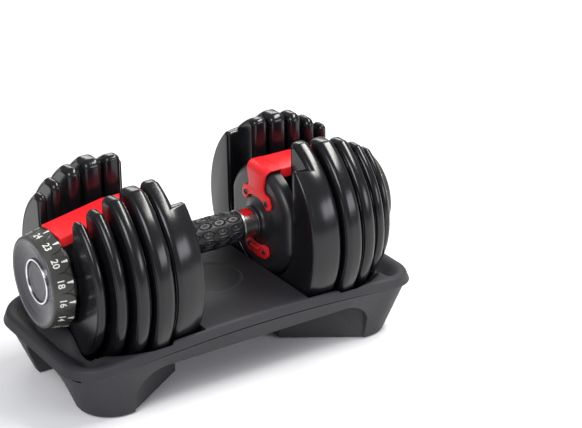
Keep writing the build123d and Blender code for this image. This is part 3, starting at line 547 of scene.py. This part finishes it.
# profiles: x, radius about the handle axis, and the corner's own rounding
RIM_FRONT = ((199.3, 46.6), (199.7, 46.3), (199.85, 45.9), (199.8, 45.4), (DIAL_WEB_X, 45.3))
DISH = ((192.5, 45.25), (199.95, 45.25, 0.9), (200.0, 42.6, 1.6), (197.3, 35.5, 9),
        (195.3, 28.5, 9), (194.9, 23.7, 0.3), (192.5, 23.7))
TRIM = ((192.5, 23.6), (196.9, 23.6), (196.9, 21.2), (192.5, 21.2))
CAP = ((DIAL_WEB_X, 19.0), (DIAL_WEB_X, 21.1), (194.9, 21.1, 1.0), (195.5, 17.0, 3),
       (195.0, 12.0, 3), (195.0, 0.0, 0), (192.5, 0.0, 0), (192.5, 19.0))


def cone_radius(x):
    """Radius of the tapered rim."""
    t = (x - DIAL_BACK_X) / (DIAL_FRONT_X - DIAL_BACK_X)
    return DIAL_REAR_RADIUS + (DIAL_FRONT_RADIUS - DIAL_REAR_RADIUS) * t


def number_pads(x, r, angle):
    """The rim is cut back round the D-shaped pad under each number."""
    if r < DIAL_FRONT_RADIUS - PAD_SKIN or x > DIAL_FRONT_X - PAD_PLAIN:
        return r
    behind = x - DIAL_BACK_X
    aside = ((angle / STEP + 0.5) % 1 - 0.5) * STEP * r
    reach = max(0.0, (PAD_LENGTH - behind) / PAD_LENGTH)
    outside = smooth_step((hypot(reach, aside / PAD_HALF) - 1) / PAD_EDGE)
    return r - PAD_RISE * outside * smooth_step((PAD_FADE_START - behind) / PAD_FADE_RUN)


def dial_ring(side):
    """The numbered rim with its rear wall."""
    start = DIAL_BACK_X + DIAL_ROUNDING
    profile = [(DIAL_BACK_X, DIAL_SLEEVE_RADIUS), (DIAL_BACK_X, DIAL_REAR_RADIUS - DIAL_ROUNDING),
               (DIAL_BACK_X + 0.4, DIAL_REAR_RADIUS - 0.45)]
    for i in range(DIAL_BAND_STEPS):
        x = start + DIAL_BAND * i / DIAL_BAND_STEPS
        profile.append((x, cone_radius(x)))
    profile += [*RIM_FRONT, (DIAL_WEB_X, DIAL_SLEEVE_RADIUS)]
    segments = len(SETTINGS) * STEP_SEGMENTS
    piece = lathe(side + "_dial_rim", side, profile, segments, number_pads)
    dress(piece, "dial_plastic", side + "_selector", side + "_dial_ring")


def dial_front(side):
    """Dished face, bright ring and centre cap."""
    body = side + "_selector"
    dish = lathe(side + "_dial_dish", side, rounded(DISH, 0.4, 7))
    dress(dish, "dial_face_plastic", body, side + "_dial_face")
    trim = lathe(side + "_dial_trim", side, rounded(TRIM, 1.05, 7))
    dress(trim, "chrome_trim", body, side + "_dial_trim_ring")
    cap = lathe(side + "_dial_centre", side, rounded(CAP, 0.4, 5))
    dress(cap, "dial_cap_plastic", body, side + "_dial_cap")


def wrapped(name, side, mesh, setting):
    """Lay a flat mesh, drawn with its top towards the plates, on the rim over one setting."""
    points = []
    for v in mesh.vertices:
        x = DIGIT_MIDDLE_X - v.co.y
        r = cone_radius(x) + PRINT_GAP + v.co.z
        angle = setting * STEP - v.co.x / cone_radius(x)
        points.append(about_axis(side, x * MM, angle, r * MM))
    return solid(name, points, [tuple(p.vertices) for p in mesh.polygons], 40)


def flat_text(words):
    """Thick digits, flat and in millimetres."""
    curve = bpy.data.curves.new("digits", "FONT")
    curve.body = words
    curve.size = DIGIT_SIZE
    curve.extrude = PRINT_THICKNESS / 2
    curve.offset = DIGIT_BOLD
    curve.align_x, curve.align_y = "CENTER", "CENTER"
    curve.resolution_u = DIGIT_STEPS
    holder = bpy.data.objects.new("digits", curve)
    bpy.context.scene.collection.objects.link(holder)
    graph = bpy.context.evaluated_depsgraph_get()
    mesh = bpy.data.meshes.new_from_object(holder.evaluated_get(graph))
    work = bmesh.new()
    work.from_mesh(mesh)
    bmesh.ops.remove_doubles(work, verts=work.verts, dist=DIGIT_WELD)
    work.to_mesh(mesh)
    work.free()
    bpy.data.objects.remove(holder)
    return mesh


def flat_pointer():
    """Wedge between the number and the dial's rear edge, wide end towards the plates."""
    outline = [(-POINTER_SLIM, POINTER_NEAR), (POINTER_SLIM, POINTER_NEAR),
               (POINTER_WIDE, POINTER_FAR), (-POINTER_WIDE, POINTER_FAR)]
    low, high = -PRINT_THICKNESS / 2, PRINT_THICKNESS / 2
    verts = [(*p, low) for p in outline] + [(*p, high) for p in outline]
    faces = [(3, 2, 1, 0), (4, 5, 6, 7), (0, 1, 5, 4), (1, 2, 6, 5), (2, 3, 7, 6), (3, 0, 4, 7)]
    mesh = bpy.data.meshes.new("pointer")
    mesh.from_pydata(verts, [], faces)
    return mesh


def dial_print(side):
    """Numbers and pointers round the rim, as thin print."""
    marks = []
    for i, words in enumerate(SETTINGS):
        marks.append(wrapped("number", side, flat_text(words), i))
        marks.append(wrapped("pointer", side, flat_pointer(), i))
    dress(joined(side + "_dial_numbers", marks), "print", side + "_selector")


# ---- handle ----------------------------------------------------------------------------------
TUBE_RADIUS = 12.5
GRIP_HALF = 35.0
GRIP_END_RADIUS, GRIP_MID_RADIUS = 15.6, 17.2
GRIP_ROUNDING, GRIP_ROUNDING_LENGTH = 0.5, 0.4      # at the grip's ends
GRIP_SKIN, GRIP_PLAIN = 0.6, 0.8        # depth of the patterned skin, and its plain ends
GRIP_STEPS, GRIP_SEGMENTS = 210, 352
OVAL_COLUMNS, OVAL_ROWS = 4, 11
OVAL_PITCH = 16.8
OVAL_HALF_X, OVAL_HALF_ROUND = 7.7, 3.9
# the raised line and the sunk floor, as shares of the oval, and their heights
OVAL_LINE, OVAL_LINE_HALF, OVAL_RISE = 0.92, 0.16, 0.75
FLOOR_EDGE, FLOOR_EASE, FLOOR_SINK = 0.8, 0.15, 0.2
BAR_HALF_X, BAR_HALF_ROUND, BAR_LINE, BAR_EASE, BAR_RISE = 2.4, 1.0, 0.7, 0.5, 0.35

COLLAR = ((35.0, TUBE_RADIUS, 0), (35.0, 17.0), (38.2, 17.0), (38.4, 14.8, 0.3),
          (51.5, 14.8, 0), (51.5, TUBE_RADIUS, 0))
COLLAR_SEGMENTS = 160
# red insert: a rounded patch bent round the collar
INSERT_START, INSERT_END, INSERT_SWEEP = 39.1, 50.4, radians(31)
INSERT_RADIUS, INSERT_CORNER, INSERT_HALF = 15, 2.6, 6
INSERT_LEVELS = ((14.0, 0.0), (15.3, 0.0), (15.65, 0.25), (15.75, 0.7))    # radius, inset


def oval_pattern(x, r, angle):
    """Raised oval rings with a small bar in the middle of each."""
    if r < GRIP_END_RADIUS - GRIP_SKIN or abs(x) > GRIP_HALF - GRIP_PLAIN:
        return r
    last = (OVAL_COLUMNS - 1) / 2
    column = max(-last, min(last, round(x / OVAL_PITCH - 0.5) + 0.5))
    along = x - column * OVAL_PITCH
    row = 2 * pi / OVAL_ROWS
    around = ((angle / row + 0.5) % 1 - 0.5) * row * GRIP_MID_RADIUS
    e = hypot(along / OVAL_HALF_X, around / OVAL_HALF_ROUND)
    ring = smooth_step(1 - abs(e - OVAL_LINE) / OVAL_LINE_HALF)
    inside = smooth_step((FLOOR_EDGE - e) / FLOOR_EASE)
    b = hypot(along / BAR_HALF_X, around / BAR_HALF_ROUND)
    bar = smooth_step(1 - abs(b - BAR_LINE) / BAR_EASE)
    return r + OVAL_RISE * ring - FLOOR_SINK * inside + BAR_RISE * inside * bar


def grip():
    """The rubber grip, thickest in its middle."""
    swell = GRIP_MID_RADIUS - GRIP_END_RADIUS
    profile = [(-GRIP_HALF, TUBE_RADIUS), (-GRIP_HALF, GRIP_END_RADIUS - GRIP_ROUNDING)]
    for i in range(GRIP_STEPS + 1):
        x = (GRIP_HALF - GRIP_ROUNDING_LENGTH) * (2 * i / GRIP_STEPS - 1)
        profile.append((x, GRIP_END_RADIUS + swell * (1 - (x / GRIP_HALF) ** 2)))
    profile += [(GRIP_HALF, GRIP_END_RADIUS - GRIP_ROUNDING), (GRIP_HALF, TUBE_RADIUS)]
    piece = lathe("handle_grip", "right", profile, GRIP_SEGMENTS, oval_pattern)
    dress(piece, "grip_rubber", "handle", "grip")


def collar(side):
    """Metal collar beside the grip, and the red insert on top of it."""
    ring = lathe(side + "_collar_ring", side, rounded(COLLAR, 0.8, 5), COLLAR_SEGMENTS)
    dress(ring, "collar_metal", "handle", side + "_collar")
    half = INSERT_SWEEP * INSERT_RADIUS
    outline = rounded([(INSERT_START, -half), (INSERT_END, -half), (INSERT_END, half),
                       (INSERT_START, half)], INSERT_CORNER, 6)
    centre = Vector(((INSERT_START + INSERT_END) / 2, 0))
    verts, faces, n = [], [], len(outline)
    for radius, inset in INSERT_LEVELS:
        for p in outline:
            p = centre + (p - centre) * (1 - inset / INSERT_HALF)
            verts.append(about_axis(side, p.x * MM, p.y / INSERT_RADIUS, radius * MM))
    top = (len(INSERT_LEVELS) - 1) * n
    for k in range(0, top, n):
        faces += [(k + i, k + (i + 1) % n, k + n + (i + 1) % n, k + n + i) for i in range(n)]
    verts.append(about_axis(side, centre.x * MM, 0, INSERT_LEVELS[-1][0] * MM))
    faces += [(top + i, top + (i + 1) % n, len(verts) - 1) for i in range(n)]
    faces.append(tuple(range(n)))
    insert = solid(side + "_collar_red_insert", verts, faces)
    dress(insert, "red_plastic", "handle", side + "_collar_insert")


# ---- end discs -------------------------------------------------------------------------------
DISC_FACE_X, DISC_BACK_X, DISC_BACK_EDGE = 61.5, 77.5, 0.8
DISC_RADIUS, DISC_FLAT_HALF, DISC_CORNER = 60.0, 56.0, 12.0
DISC_CORNER_SHARE = 0.56        # how much of an inset the corners' rounding loses
DISC_STEPS, DISC_CORNER_STEPS = 30, 10
# bevel of the inner face: depth below it, and how far in from the outline
DISC_EDGE = ((0.0, 10.0), (0.0, 8.4), (0.2, 7.3), (0.9, 5.7), (2.1, 3.7), (3.4, 2.0), (4.7, 0.9),
             (6.2, 0.25), (7.8, 0.0))
# hub: a lip behind the collar, then a flare that opens into the disc's face
HUB_LIP = ((51.5, TUBE_RADIUS), (51.5, 15.9), (51.9, 16.9), (52.7, 17.4), (53.6, 17.3),
           (54.3, 16.8))
HUB_FOOT = ((63.3, 27.6), (63.3, TUBE_RADIUS))
FLARE_X, FLARE_RUN, FLARE_RADIUS, FLARE_GROWTH, FLARE_STEPS = 54.8, 7.0, 16.6, 10.4, 14
PIN_BORE_RADIUS, PIN_BORE_FOOT, PIN_BORE_DEPTH = 3.1, 64.0, 36.0


def disc_outline(inset):
    """Outline of the disc: round, with a flat on each side."""
    radius, flat = DISC_RADIUS - inset, DISC_FLAT_HALF - inset
    r = DISC_CORNER - DISC_CORNER_SHARE * inset
    corner_y = flat - r
    corner_z = sqrt((radius - r) ** 2 - corner_y ** 2)
    lean = atan2(corner_y, corner_z)
    quarter = arc((0, 0), radius, 0, lean, DISC_STEPS)
    quarter += arc((corner_y, corner_z), r, lean, pi / 2, DISC_CORNER_STEPS)[1:]
    right = quarter + [(y, -z) for y, z in reversed(quarter)]
    return right + [(-y, z) for y, z in reversed(right[1:-1])]


def pin_bore(side):
    """The space that the lock pin slides in."""
    pin_low, pin_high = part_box(side + "_lock_pin")
    place = ((pin_low.x + pin_high.x) / 2, 0, (PIN_BORE_FOOT + PIN_BORE_DEPTH / 2) * MM)
    bore = bpy.data.objects.new("bore", bpy.data.meshes.new("bore"))
    work = bmesh.new()
    bmesh.ops.create_cone(work, cap_ends=True, segments=32, radius1=PIN_BORE_RADIUS * MM,
                          radius2=PIN_BORE_RADIUS * MM, depth=PIN_BORE_DEPTH * MM,
                          matrix=Matrix.Translation(place))
    work.to_mesh(bore.data)
    work.free()
    bpy.context.scene.collection.objects.link(bore)
    return bore


def end_disc(side):
    """Black end disc with its flared hub, bored from below for the lock pin."""
    loops = [(DISC_FACE_X + depth, disc_outline(inset)) for depth, inset in DISC_EDGE]
    loops += [(DISC_BACK_X - DISC_BACK_EDGE, disc_outline(0.0)),
              (DISC_BACK_X, disc_outline(DISC_BACK_EDGE))]
    disc = stacked(side + "_disc", side, loops)
    flare = list(HUB_LIP)
    for i in range(FLARE_STEPS + 1):
        t = i / FLARE_STEPS
        flare.append((FLARE_X + FLARE_RUN * t, FLARE_RADIUS + FLARE_GROWTH * t ** 3))
    piece = joined(side + "_end_disc", [disc, lathe("hub", side, flare + list(HUB_FOOT))])
    bore = pin_bore(side)
    cut = piece.modifiers.new("bore", "BOOLEAN")
    cut.operation, cut.object, cut.solver = "DIFFERENCE", bore, "EXACT"
    with bpy.context.temp_override(object=piece, active_object=piece):
        bpy.ops.object.modifier_apply(modifier="bore")
    bpy.data.objects.remove(bore)
    dress(piece, "disc_plastic", "handle", side + "_inner_disc")


# ---- red brackets ----------------------------------------------------------------------------
SHEET = 3.0
BRACKET_FACE_X = DISC_FACE_X - SHEET
SEAT_GAP = 0.02                     # between a bracket and the disc's face
SHEET_EASE, EAR_EASE = 0.7, 0.5     # eased edges of the sheet and of what is pressed out of it
BRIDGE_TOP, BRIDGE_HALF, BRIDGE_SHEET, FLANGE = 62.0, 20.0, 2.0, 11.0
# the bridge runs level to its knee, then slopes down to the dial
BRIDGE_KNEE_X, BRIDGE_END_X, BRIDGE_DROP, KNEE_HALF = 112.0, 177.4, 12.0, 4
BRIDGE_START_X = DISC_BACK_X + 0.6
LEG_BEND, LEG_BEND_STEPS, LEG_BEND_THINNING, LEG_LAP = 9.0, 8, 0.33, 1.6
# half outlines, from the top down: y, height above the axis, and the corner's own rounding
LEG_HALF = ((17.4, BRIDGE_TOP - 7.0, 12), (13.4, 41.0, 12), (14.4, 36.0, 4), (24.4, 34.0, 5),
            (28.2, 22.3, 5), (19.6, 17.0, 5), (14.0, 25.0, 4), (7.5, 27.4, 7))
STRAP_HALF = ((0.0, -27.0, 0), (8.0, -25.9, 5), (13.0, -23.6, 4), (19.8, -24.0, 4.5),
              (23.0, -33.5, 5.5), (15.5, -39.5, 6), (0.0, -41.5, 12))
EAR = ((10.5, -25.0, 3), (13.5, -23.2, 4), (19.9, -23.8, 4.5), (23.2, -33.5, 5.5),
       (15.6, -39.7, 5), (9.5, -38.5, 3))
STRAP_LIP = ((-7.5, -27.6), (7.5, -27.6), (7.5, -30.0), (-7.5, -30.0))
# faces of the strap, its ears and its lip, from the bracket's own face
STRAP_START, EAR_END, LIP_START, LIP_END = 0.6, 1.4, -4.0, 1.5
BOLT_PLACES = ((20.0, 26.0), (-20.0, 26.0), (14.5, -31.0), (-14.5, -31.0))
BOLT_STEPS = 36
# shank, domed head and socket: depth behind the bracket's face, radius, and if it is hexagonal
BOLT_PROFILE = ((3.0, 2.0, False), (0.05, 2.0, False), (0.05, 3.1, False), (-0.5, 3.1, False),
                (-1.1, 2.7, False), (-1.4, 2.0, False), (-1.45, 1.55, True), (-0.2, 1.45, True))


def inset_loop(points, amount):
    """Move a closed outline inwards by this much, square to the chord at each point."""
    count = len(points)
    area = sum(points[i][0] * points[(i + 1) % count][1] - points[(i + 1) % count][0] * points[i][1]
               for i in range(count))
    turn = 1 if area > 0 else -1
    out = []
    for i, p in enumerate(points):
        along = (Vector(points[(i + 1) % count]) - Vector(points[i - 1])).normalized()
        out.append((p[0] - turn * along.y * amount, p[1] + turn * along.x * amount))
    return out


def softened(name, side, outline, x0, x1, ease):
    """A plate of this outline between two faces, its edges eased."""
    points = [(p[0], p[1]) for p in outline]
    levels = ((0, ease), (0.3 * ease, 0.3 * ease), (ease, 0))
    loops = [(x0 + depth, inset_loop(points, inset)) for depth, inset in levels]
    loops += [(x1 - depth, inset_loop(points, inset)) for depth, inset in reversed(levels)]
    return stacked(name, side, loops, 50)


def bent_over(piece, side):
    """Bend a flat upright leg over at its top, so that what stood above runs out to the dial."""
    foot = BRIDGE_TOP - LEG_BEND
    length = LEG_BEND * pi / 2
    work = bmesh.new()
    work.from_mesh(piece.data)
    for k in range(LEG_BEND_STEPS + 1):
        level = AXIS_Z + (foot + length * k / LEG_BEND_STEPS) * MM
        bmesh.ops.bisect_plane(work, geom=work.verts[:] + work.edges[:] + work.faces[:],
                               plane_co=(0, 0, level), plane_no=(0, 0, 1))
    s = SIDES[side]
    for v in work.verts:
        depth, up = s * v.co.x / MM - BRACKET_FACE_X, (v.co.z - AXIS_Z) / MM
        if up <= foot:
            continue
        a = min((up - foot) / LEG_BEND, pi / 2)
        depth *= 1 - LEG_BEND_THINNING * a / (pi / 2)
        reach = LEG_BEND - depth
        x = BRACKET_FACE_X + LEG_BEND - reach * cos(a) + max(0.0, up - foot - length)
        v.co.x, v.co.z = s * x * MM, AXIS_Z + (foot + reach * sin(a)) * MM
    work.to_mesh(piece.data)
    work.free()
    return piece


def upper_bracket(side):
    """Forked leg on the disc, bent over into the channel that bridges to the dial."""
    reach = DISC_BACK_X + LEG_LAP - BRACKET_FACE_X - LEG_BEND         # flat length past the bend
    tip = BRIDGE_TOP - LEG_BEND + LEG_BEND * pi / 2 + reach
    half = [(BRIDGE_HALF, tip, 0.6), (BRIDGE_HALF, tip - reach + 1, 6), *LEG_HALF]
    leg = rounded(half + [(-y, z, r) for y, z, r in reversed(half)], 2.0, 6)
    leg = softened("leg", side, leg, BRACKET_FACE_X, DISC_FACE_X - SEAT_GAP, SHEET_EASE)
    w, top, low, t = BRIDGE_HALF, BRIDGE_TOP, BRIDGE_TOP - FLANGE, BRIDGE_SHEET
    channel = rounded([(-w, top, 2.6), (w, top, 2.6), (w, low), (w - t, low),
                       (w - t, top - t, 0.8), (-w + t, top - t, 0.8), (-w + t, low), (-w, low)],
                      0.4, 6)
    loops = []
    for x in (BRIDGE_START_X, BRIDGE_KNEE_X - KNEE_HALF, BRIDGE_KNEE_X,
              BRIDGE_KNEE_X + KNEE_HALF, BRIDGE_END_X):
        fall = BRIDGE_DROP * max(0.0, x - BRIDGE_KNEE_X) / (BRIDGE_END_X - BRIDGE_KNEE_X)
        loops.append((x, [(p[0], p[1] - fall) for p in channel]))
    parts = [bent_over(leg, side), stacked("channel", side, loops, 40)]
    dress(joined(side + "_upper_bracket", parts), "red_paint", "handle", side + "_top_bracket")


def button_bolts():
    """Low domed bolt heads with a hexagon socket, in the brackets' ears."""
    heads = []
    for side in SIDES:
        for y, z in BOLT_PLACES:
            loops = []
            for depth, radius, hexagonal in BOLT_PROFILE:
                points = []
                for i in range(BOLT_STEPS):
                    a, r = 2 * pi * i / BOLT_STEPS, radius
                    if hexagonal:
                        r *= cos(pi / 6) / cos((a % (pi / 3)) - pi / 6)
                    points.append((y + r * sin(a), z + r * cos(a)))
                loops.append((BRACKET_FACE_X + depth, points))
            heads.append(stacked("bolt", side, loops, 40))
    dress(joined("bracket_button_bolts", heads), "bolt_steel", "handle", "bracket_bolts")


def under_bracket(side):
    """Strap under the hub with a raised ear round each bolt and a lip over its middle."""
    face, back = BRACKET_FACE_X, DISC_FACE_X - SEAT_GAP
    outline = rounded([*STRAP_HALF, *((-y, z, r) for y, z, r in reversed(STRAP_HALF[1:-1]))],
                      2.0, 6)
    parts = [softened("strap", side, outline, face + STRAP_START, back, SHEET_EASE)]
    for turn in (1, -1):
        ear = rounded([(turn * y, z, r) for y, z, r in EAR], 2, 6)
        parts.append(softened("ear", side, ear, face, face + EAR_END, EAR_EASE))
    lip = rounded(STRAP_LIP, 1.0, 4)
    parts.append(softened("lip", side, lip, face + LIP_START, face + LIP_END, EAR_EASE))
    dress(joined(side + "_under_bracket", parts), "red_paint", "handle", side + "_lower_bracket")


# ---- tray top --------------------------------------------------------------------------------
TRAY_HALF_LENGTH, TRAY_HALF_WIDTH, TRAY_CORNER = 205.9, 100.5, 42.0
TRAY_WALL = 3.0
# rim: height of its top at the middle, how far that falls to the ends, and its section
RIM_TOP, RIM_CAMBER, RIM_DEPTH = 77.0, 13.9, 9.7
RIM_SLOPE_RUN, RIM_SLOPE_RISE, RIM_SOFT = 2.8, 7.0, 6.0
# wells: their ends, and their smooth outline as distance from the middle and radius about the axis
WELL_START, WELL_END = 60.7, 172.8
TROUGH = ((60.0, 107.5), (97.3, 107.5), (99.7, 112.0), (120.3, 112.0), (139.7, 107.6),
          (157.3, 99.6), (173.5, 87.5))
LIP_BLEND = 3.0
# bowl round the dial, and the saddle that rises in it under the handle axis
BASIN_START, BASIN_EASE, BASIN_FLOOR, BASIN_LIP, BASIN_RUN = 162, 16, 53.0, 7.0, 24.0
SADDLE_TOP, SADDLE_HALF, SADDLE_RUN, SADDLE_END = 75.0, 12.0, 46.0, 198.0
SADDLE_SINK, SADDLE_BLEND = 3, 1.5
DECK_RING, DECK_RING_MARGIN, DECK_RING_DEPTH, DECK_RING_EASE = 34.0, 3, 0.7, 0.8
# mesh lines along the tray: even runs (start, spacing, count), and closer ones round the deck's
# ring, at the wells' ends and down the rim
LINE_RUNS = ((0.0, 2.0, 30), (63.0, 2.2, 49), (180.0, 2.0, 10))
RING_LINES = (32.6, 33.2, 33.6, 34.0, 34.4, 35.0)
WELL_LINES = (57.4, 57.65, 57.75, 60.3, 60.65, 60.75, 61.2, 172.3, 172.75, 172.85, 173.4, 175.75,
              175.85, 178.0)
END_LINES = (199.5, 200.5, 201.5, 202.4, 203.0, 203.6, 204.2, 204.7, 205.1, 205.5, 205.75, 205.9)
# mesh lines across it, as shares of the half width: even ones, then closer ones down the rim
EVEN_SHARES = [i / 60 for i in range(54)]
RIM_SHARES = [0.9, 0.915, 0.93, 0.942, 0.954, 0.964, 0.973, 0.981, 0.988, 0.994, 1.0]


def blend_min(a, b, soft):
    """The lower of two heights, eased where they are close."""
    t = max(0.0, min(1.0, 0.5 + (b - a) / (2 * soft)))
    return b * (1 - t) + a * t - soft * t * (1 - t)


def trough_radius(x):
    """Radius of the wells' smooth outline at this distance from the middle."""
    for (x0, r0), (x1, r1) in zip(TROUGH, TROUGH[1:]):
        if x <= x1:
            return r0 + (r1 - r0) * max(0.0, x - x0) / (x1 - x0)
    return TROUGH[-1][1]


def edge_distance(x, y):
    """How far inside the tray's rounded outline a point is."""
    qx = x - (TRAY_HALF_LENGTH - TRAY_CORNER)
    qy = abs(y) - (TRAY_HALF_WIDTH - TRAY_CORNER)
    return TRAY_CORNER - hypot(max(qx, 0.0), max(qy, 0.0)) - min(max(qx, qy), 0.0)


def rim_fall(d):
    """How far the surface is below the rim's top, this far in from the outline."""
    if d <= 0:
        return RIM_DEPTH
    if d < RIM_SLOPE_RUN:
        return RIM_DEPTH - RIM_SLOPE_RISE * d / RIM_SLOPE_RUN
    t = min(1.0, (d - RIM_SLOPE_RUN) / RIM_SOFT)
    return (RIM_DEPTH - RIM_SLOPE_RISE) * (1 - sqrt(1 - (1 - t) ** 2) if t < 1 else 0.0)


def tray_height(x, y, wall):
    """Height of the top shell over a point, or of its underside where wall is its thickness."""
    x = abs(x)
    d = edge_distance(x, y)
    basin = BASIN_FLOOR - wall
    z = RIM_TOP - RIM_CAMBER * (x / TRAY_HALF_LENGTH) ** 2 - max(rim_fall(d - wall), wall)
    depth = (z - basin) * smooth_step((x - BASIN_START) / BASIN_EASE)
    z -= max(0.0, depth) * smooth_step((d - wall - BASIN_LIP) / BASIN_RUN)
    if x > WELL_END - 2 * TRAY_WALL:
        fall = smooth_step((x - WELL_END) / (SADDLE_END - WELL_END))
        rise = (SADDLE_TOP - BASIN_FLOOR) * (1 - fall) + SADDLE_SINK
        side = 1 - smooth_step((abs(y) - SADDLE_HALF) / SADDLE_RUN)
        z = -blend_min(-z, SADDLE_SINK - basin - rise * side, SADDLE_BLEND)
    if wall == 0 and x < DECK_RING + DECK_RING_MARGIN:
        ring = hypot(x, y) - DECK_RING
        z -= DECK_RING_DEPTH * (1 - smooth_step(ring / DECK_RING_EASE + 0.5))
    if WELL_START - wall < x < WELL_END + wall:
        r = trough_radius(x) + wall
        floor = AXIS_Z / MM - sqrt(max(0.0, r * r - y * y))
        z = blend_min(z, floor, LIP_BLEND)
    return z


def both_ways(values):
    """The values from the middle outwards, and the same on the other side of it."""
    return [-v for v in reversed(values[1:])] + values


def tray_lines():
    """Where the mesh has its lines along the tray; closer where the surface turns quickly."""
    lines = [start + spacing * i for start, spacing, count in LINE_RUNS for i in range(count)]
    lines += RING_LINES + WELL_LINES + END_LINES
    return both_ways(sorted(set(round(x, 2) for x in lines)))


def tray_top():
    """The tray's top shell as one smooth sheet of even thickness."""
    across, lines = both_ways(EVEN_SHARES + RIM_SHARES), tray_lines()
    verts, faces = [], []
    rows = len(across)
    for wall in (0.0, TRAY_WALL):
        for x in lines:
            over = max(0.0, abs(x) - (TRAY_HALF_LENGTH - TRAY_CORNER))
            half = TRAY_HALF_WIDTH - TRAY_CORNER + sqrt(max(0.0, TRAY_CORNER ** 2 - over ** 2))
            for t in across:
                verts.append((x * MM, half * t * MM, tray_height(x, half * t, wall) * MM))
    base = len(lines) * rows
    for i in range(len(lines) - 1):
        for j in range(rows - 1):
            a = i * rows + j
            quad = (a, a + rows, a + rows + 1, a + 1)
            faces.append(quad)
            faces.append(tuple(base + v for v in reversed(quad)))
    border = [i * rows for i in range(len(lines))]
    border += [base - rows + j for j in range(1, rows)]
    border += [i * rows + rows - 1 for i in range(len(lines) - 2, -1, -1)]
    border += [j for j in range(rows - 2, 0, -1)]
    faces += [(a, b, base + b, base + a) for a, b in zip(border, border[1:] + border[:1])]
    shell = solid("tray_top", verts, faces, 40)
    dress(shell, "tray_plastic", "tray", "tray_top_shell")


# ---- build -----------------------------------------------------------------------------------
dress_frame()
tray_top()
grip()
button_bolts()
for side in SIDES:
    for k in range(PLATES):
        plate(side, k)
    dial_ring(side)
    dial_front(side)
    dial_print(side)
    collar(side)
    end_disc(side)
    upper_bracket(side)
    under_bracket(side)


# ---- floor, light and camera, in metres and watts --------------------------------------------
FLOOR_HALF, FLOOR_DROP = 6, 0.0005
FLOOR_COLOUR, FLOOR_ROUGHNESS = (0.93, 0.93, 0.935, 1), 0.7
SKY_COLOUR, SKY_STRENGTH = (0.95, 0.96, 1.0, 1), 0.42
LIGHT_AIM = Vector((0, 0, 0.1))
# soft boxes: name, place, size, power and tint
LIGHTS = (("top_box", (1.0, -0.25, 1.75), (1.5, 0.34), 42, (1.0, 0.99, 0.95)),
          ("left_box", (-1.5, -0.9, 1.5), (1.0, 1.0), 28, (0.97, 0.97, 1.0)),
          ("back_box", (0.9, 1.6, 1.1), (1.4, 0.3), 9, (1.0, 0.98, 0.95)),
          ("front_box", (0.9, -1.6, 0.7), (0.9, 0.5), 9, (0.92, 0.92, 1.0)))


def pale_floor():
    """A plain pale sheet just under the feet."""
    h = FLOOR_HALF
    floor_mesh = bpy.data.meshes.new("floor")
    floor_mesh.from_pydata([(-h, -h, 0), (h, -h, 0), (h, h, 0), (-h, h, 0)], [], [(0, 1, 2, 3)])
    floor = bpy.data.objects.new("floor", floor_mesh)
    bpy.context.scene.collection.objects.link(floor)
    floor.location.z = -FLOOR_DROP
    paper = bpy.data.materials.new("pale_paper")
    paper.use_nodes = True
    shader = paper.node_tree.nodes["Principled BSDF"]
    shader.inputs["Base Color"].default_value = FLOOR_COLOUR
    shader.inputs["Roughness"].default_value = FLOOR_ROUGHNESS
    floor_mesh.materials.append(paper)


def studio_light():
    """Even pale surroundings and a few soft boxes."""
    world = bpy.data.worlds.new("studio")
    world.use_nodes = True
    sky = world.node_tree.nodes["Background"]
    sky.inputs["Color"].default_value = SKY_COLOUR
    sky.inputs["Strength"].default_value = SKY_STRENGTH
    bpy.context.scene.world = world
    for name, place, size, power, tint in LIGHTS:
        light = bpy.data.lights.new(name, "AREA")
        light.shape = "RECTANGLE"
        light.size, light.size_y = size
        light.energy = power
        light.color = tint
        lamp = bpy.data.objects.new(name, light)
        bpy.context.scene.collection.objects.link(lamp)
        lamp.location = place
        lamp.rotation_euler = (LIGHT_AIM - Vector(place)).to_track_quat("-Z", "Y").to_euler()


def make_camera():
    """A long lens that looks down on the left end."""
    azimuth, elevation = radians(VIEW_AZIMUTH), radians(VIEW_ELEVATION)
    back = Vector((sin(azimuth) * cos(elevation), -cos(azimuth) * cos(elevation),
                   sin(elevation)))
    data = bpy.data.cameras.new("camera")
    data.lens = VIEW_LENS
    camera = bpy.data.objects.new("camera", data)
    bpy.context.scene.collection.objects.link(camera)
    camera.rotation_mode = "QUATERNION"
    camera.rotation_quaternion = (-back).to_track_quat("-Z", "Y") @ Matrix.Rotation(
        radians(VIEW_ROLL), 4, "Z").to_quaternion()
    camera.location = VIEW_AIM + back * VIEW_DISTANCE
    bpy.context.scene.camera = camera


pale_floor()
studio_light()
make_camera()
bpy.context.scene.view_settings.view_transform = "Standard"
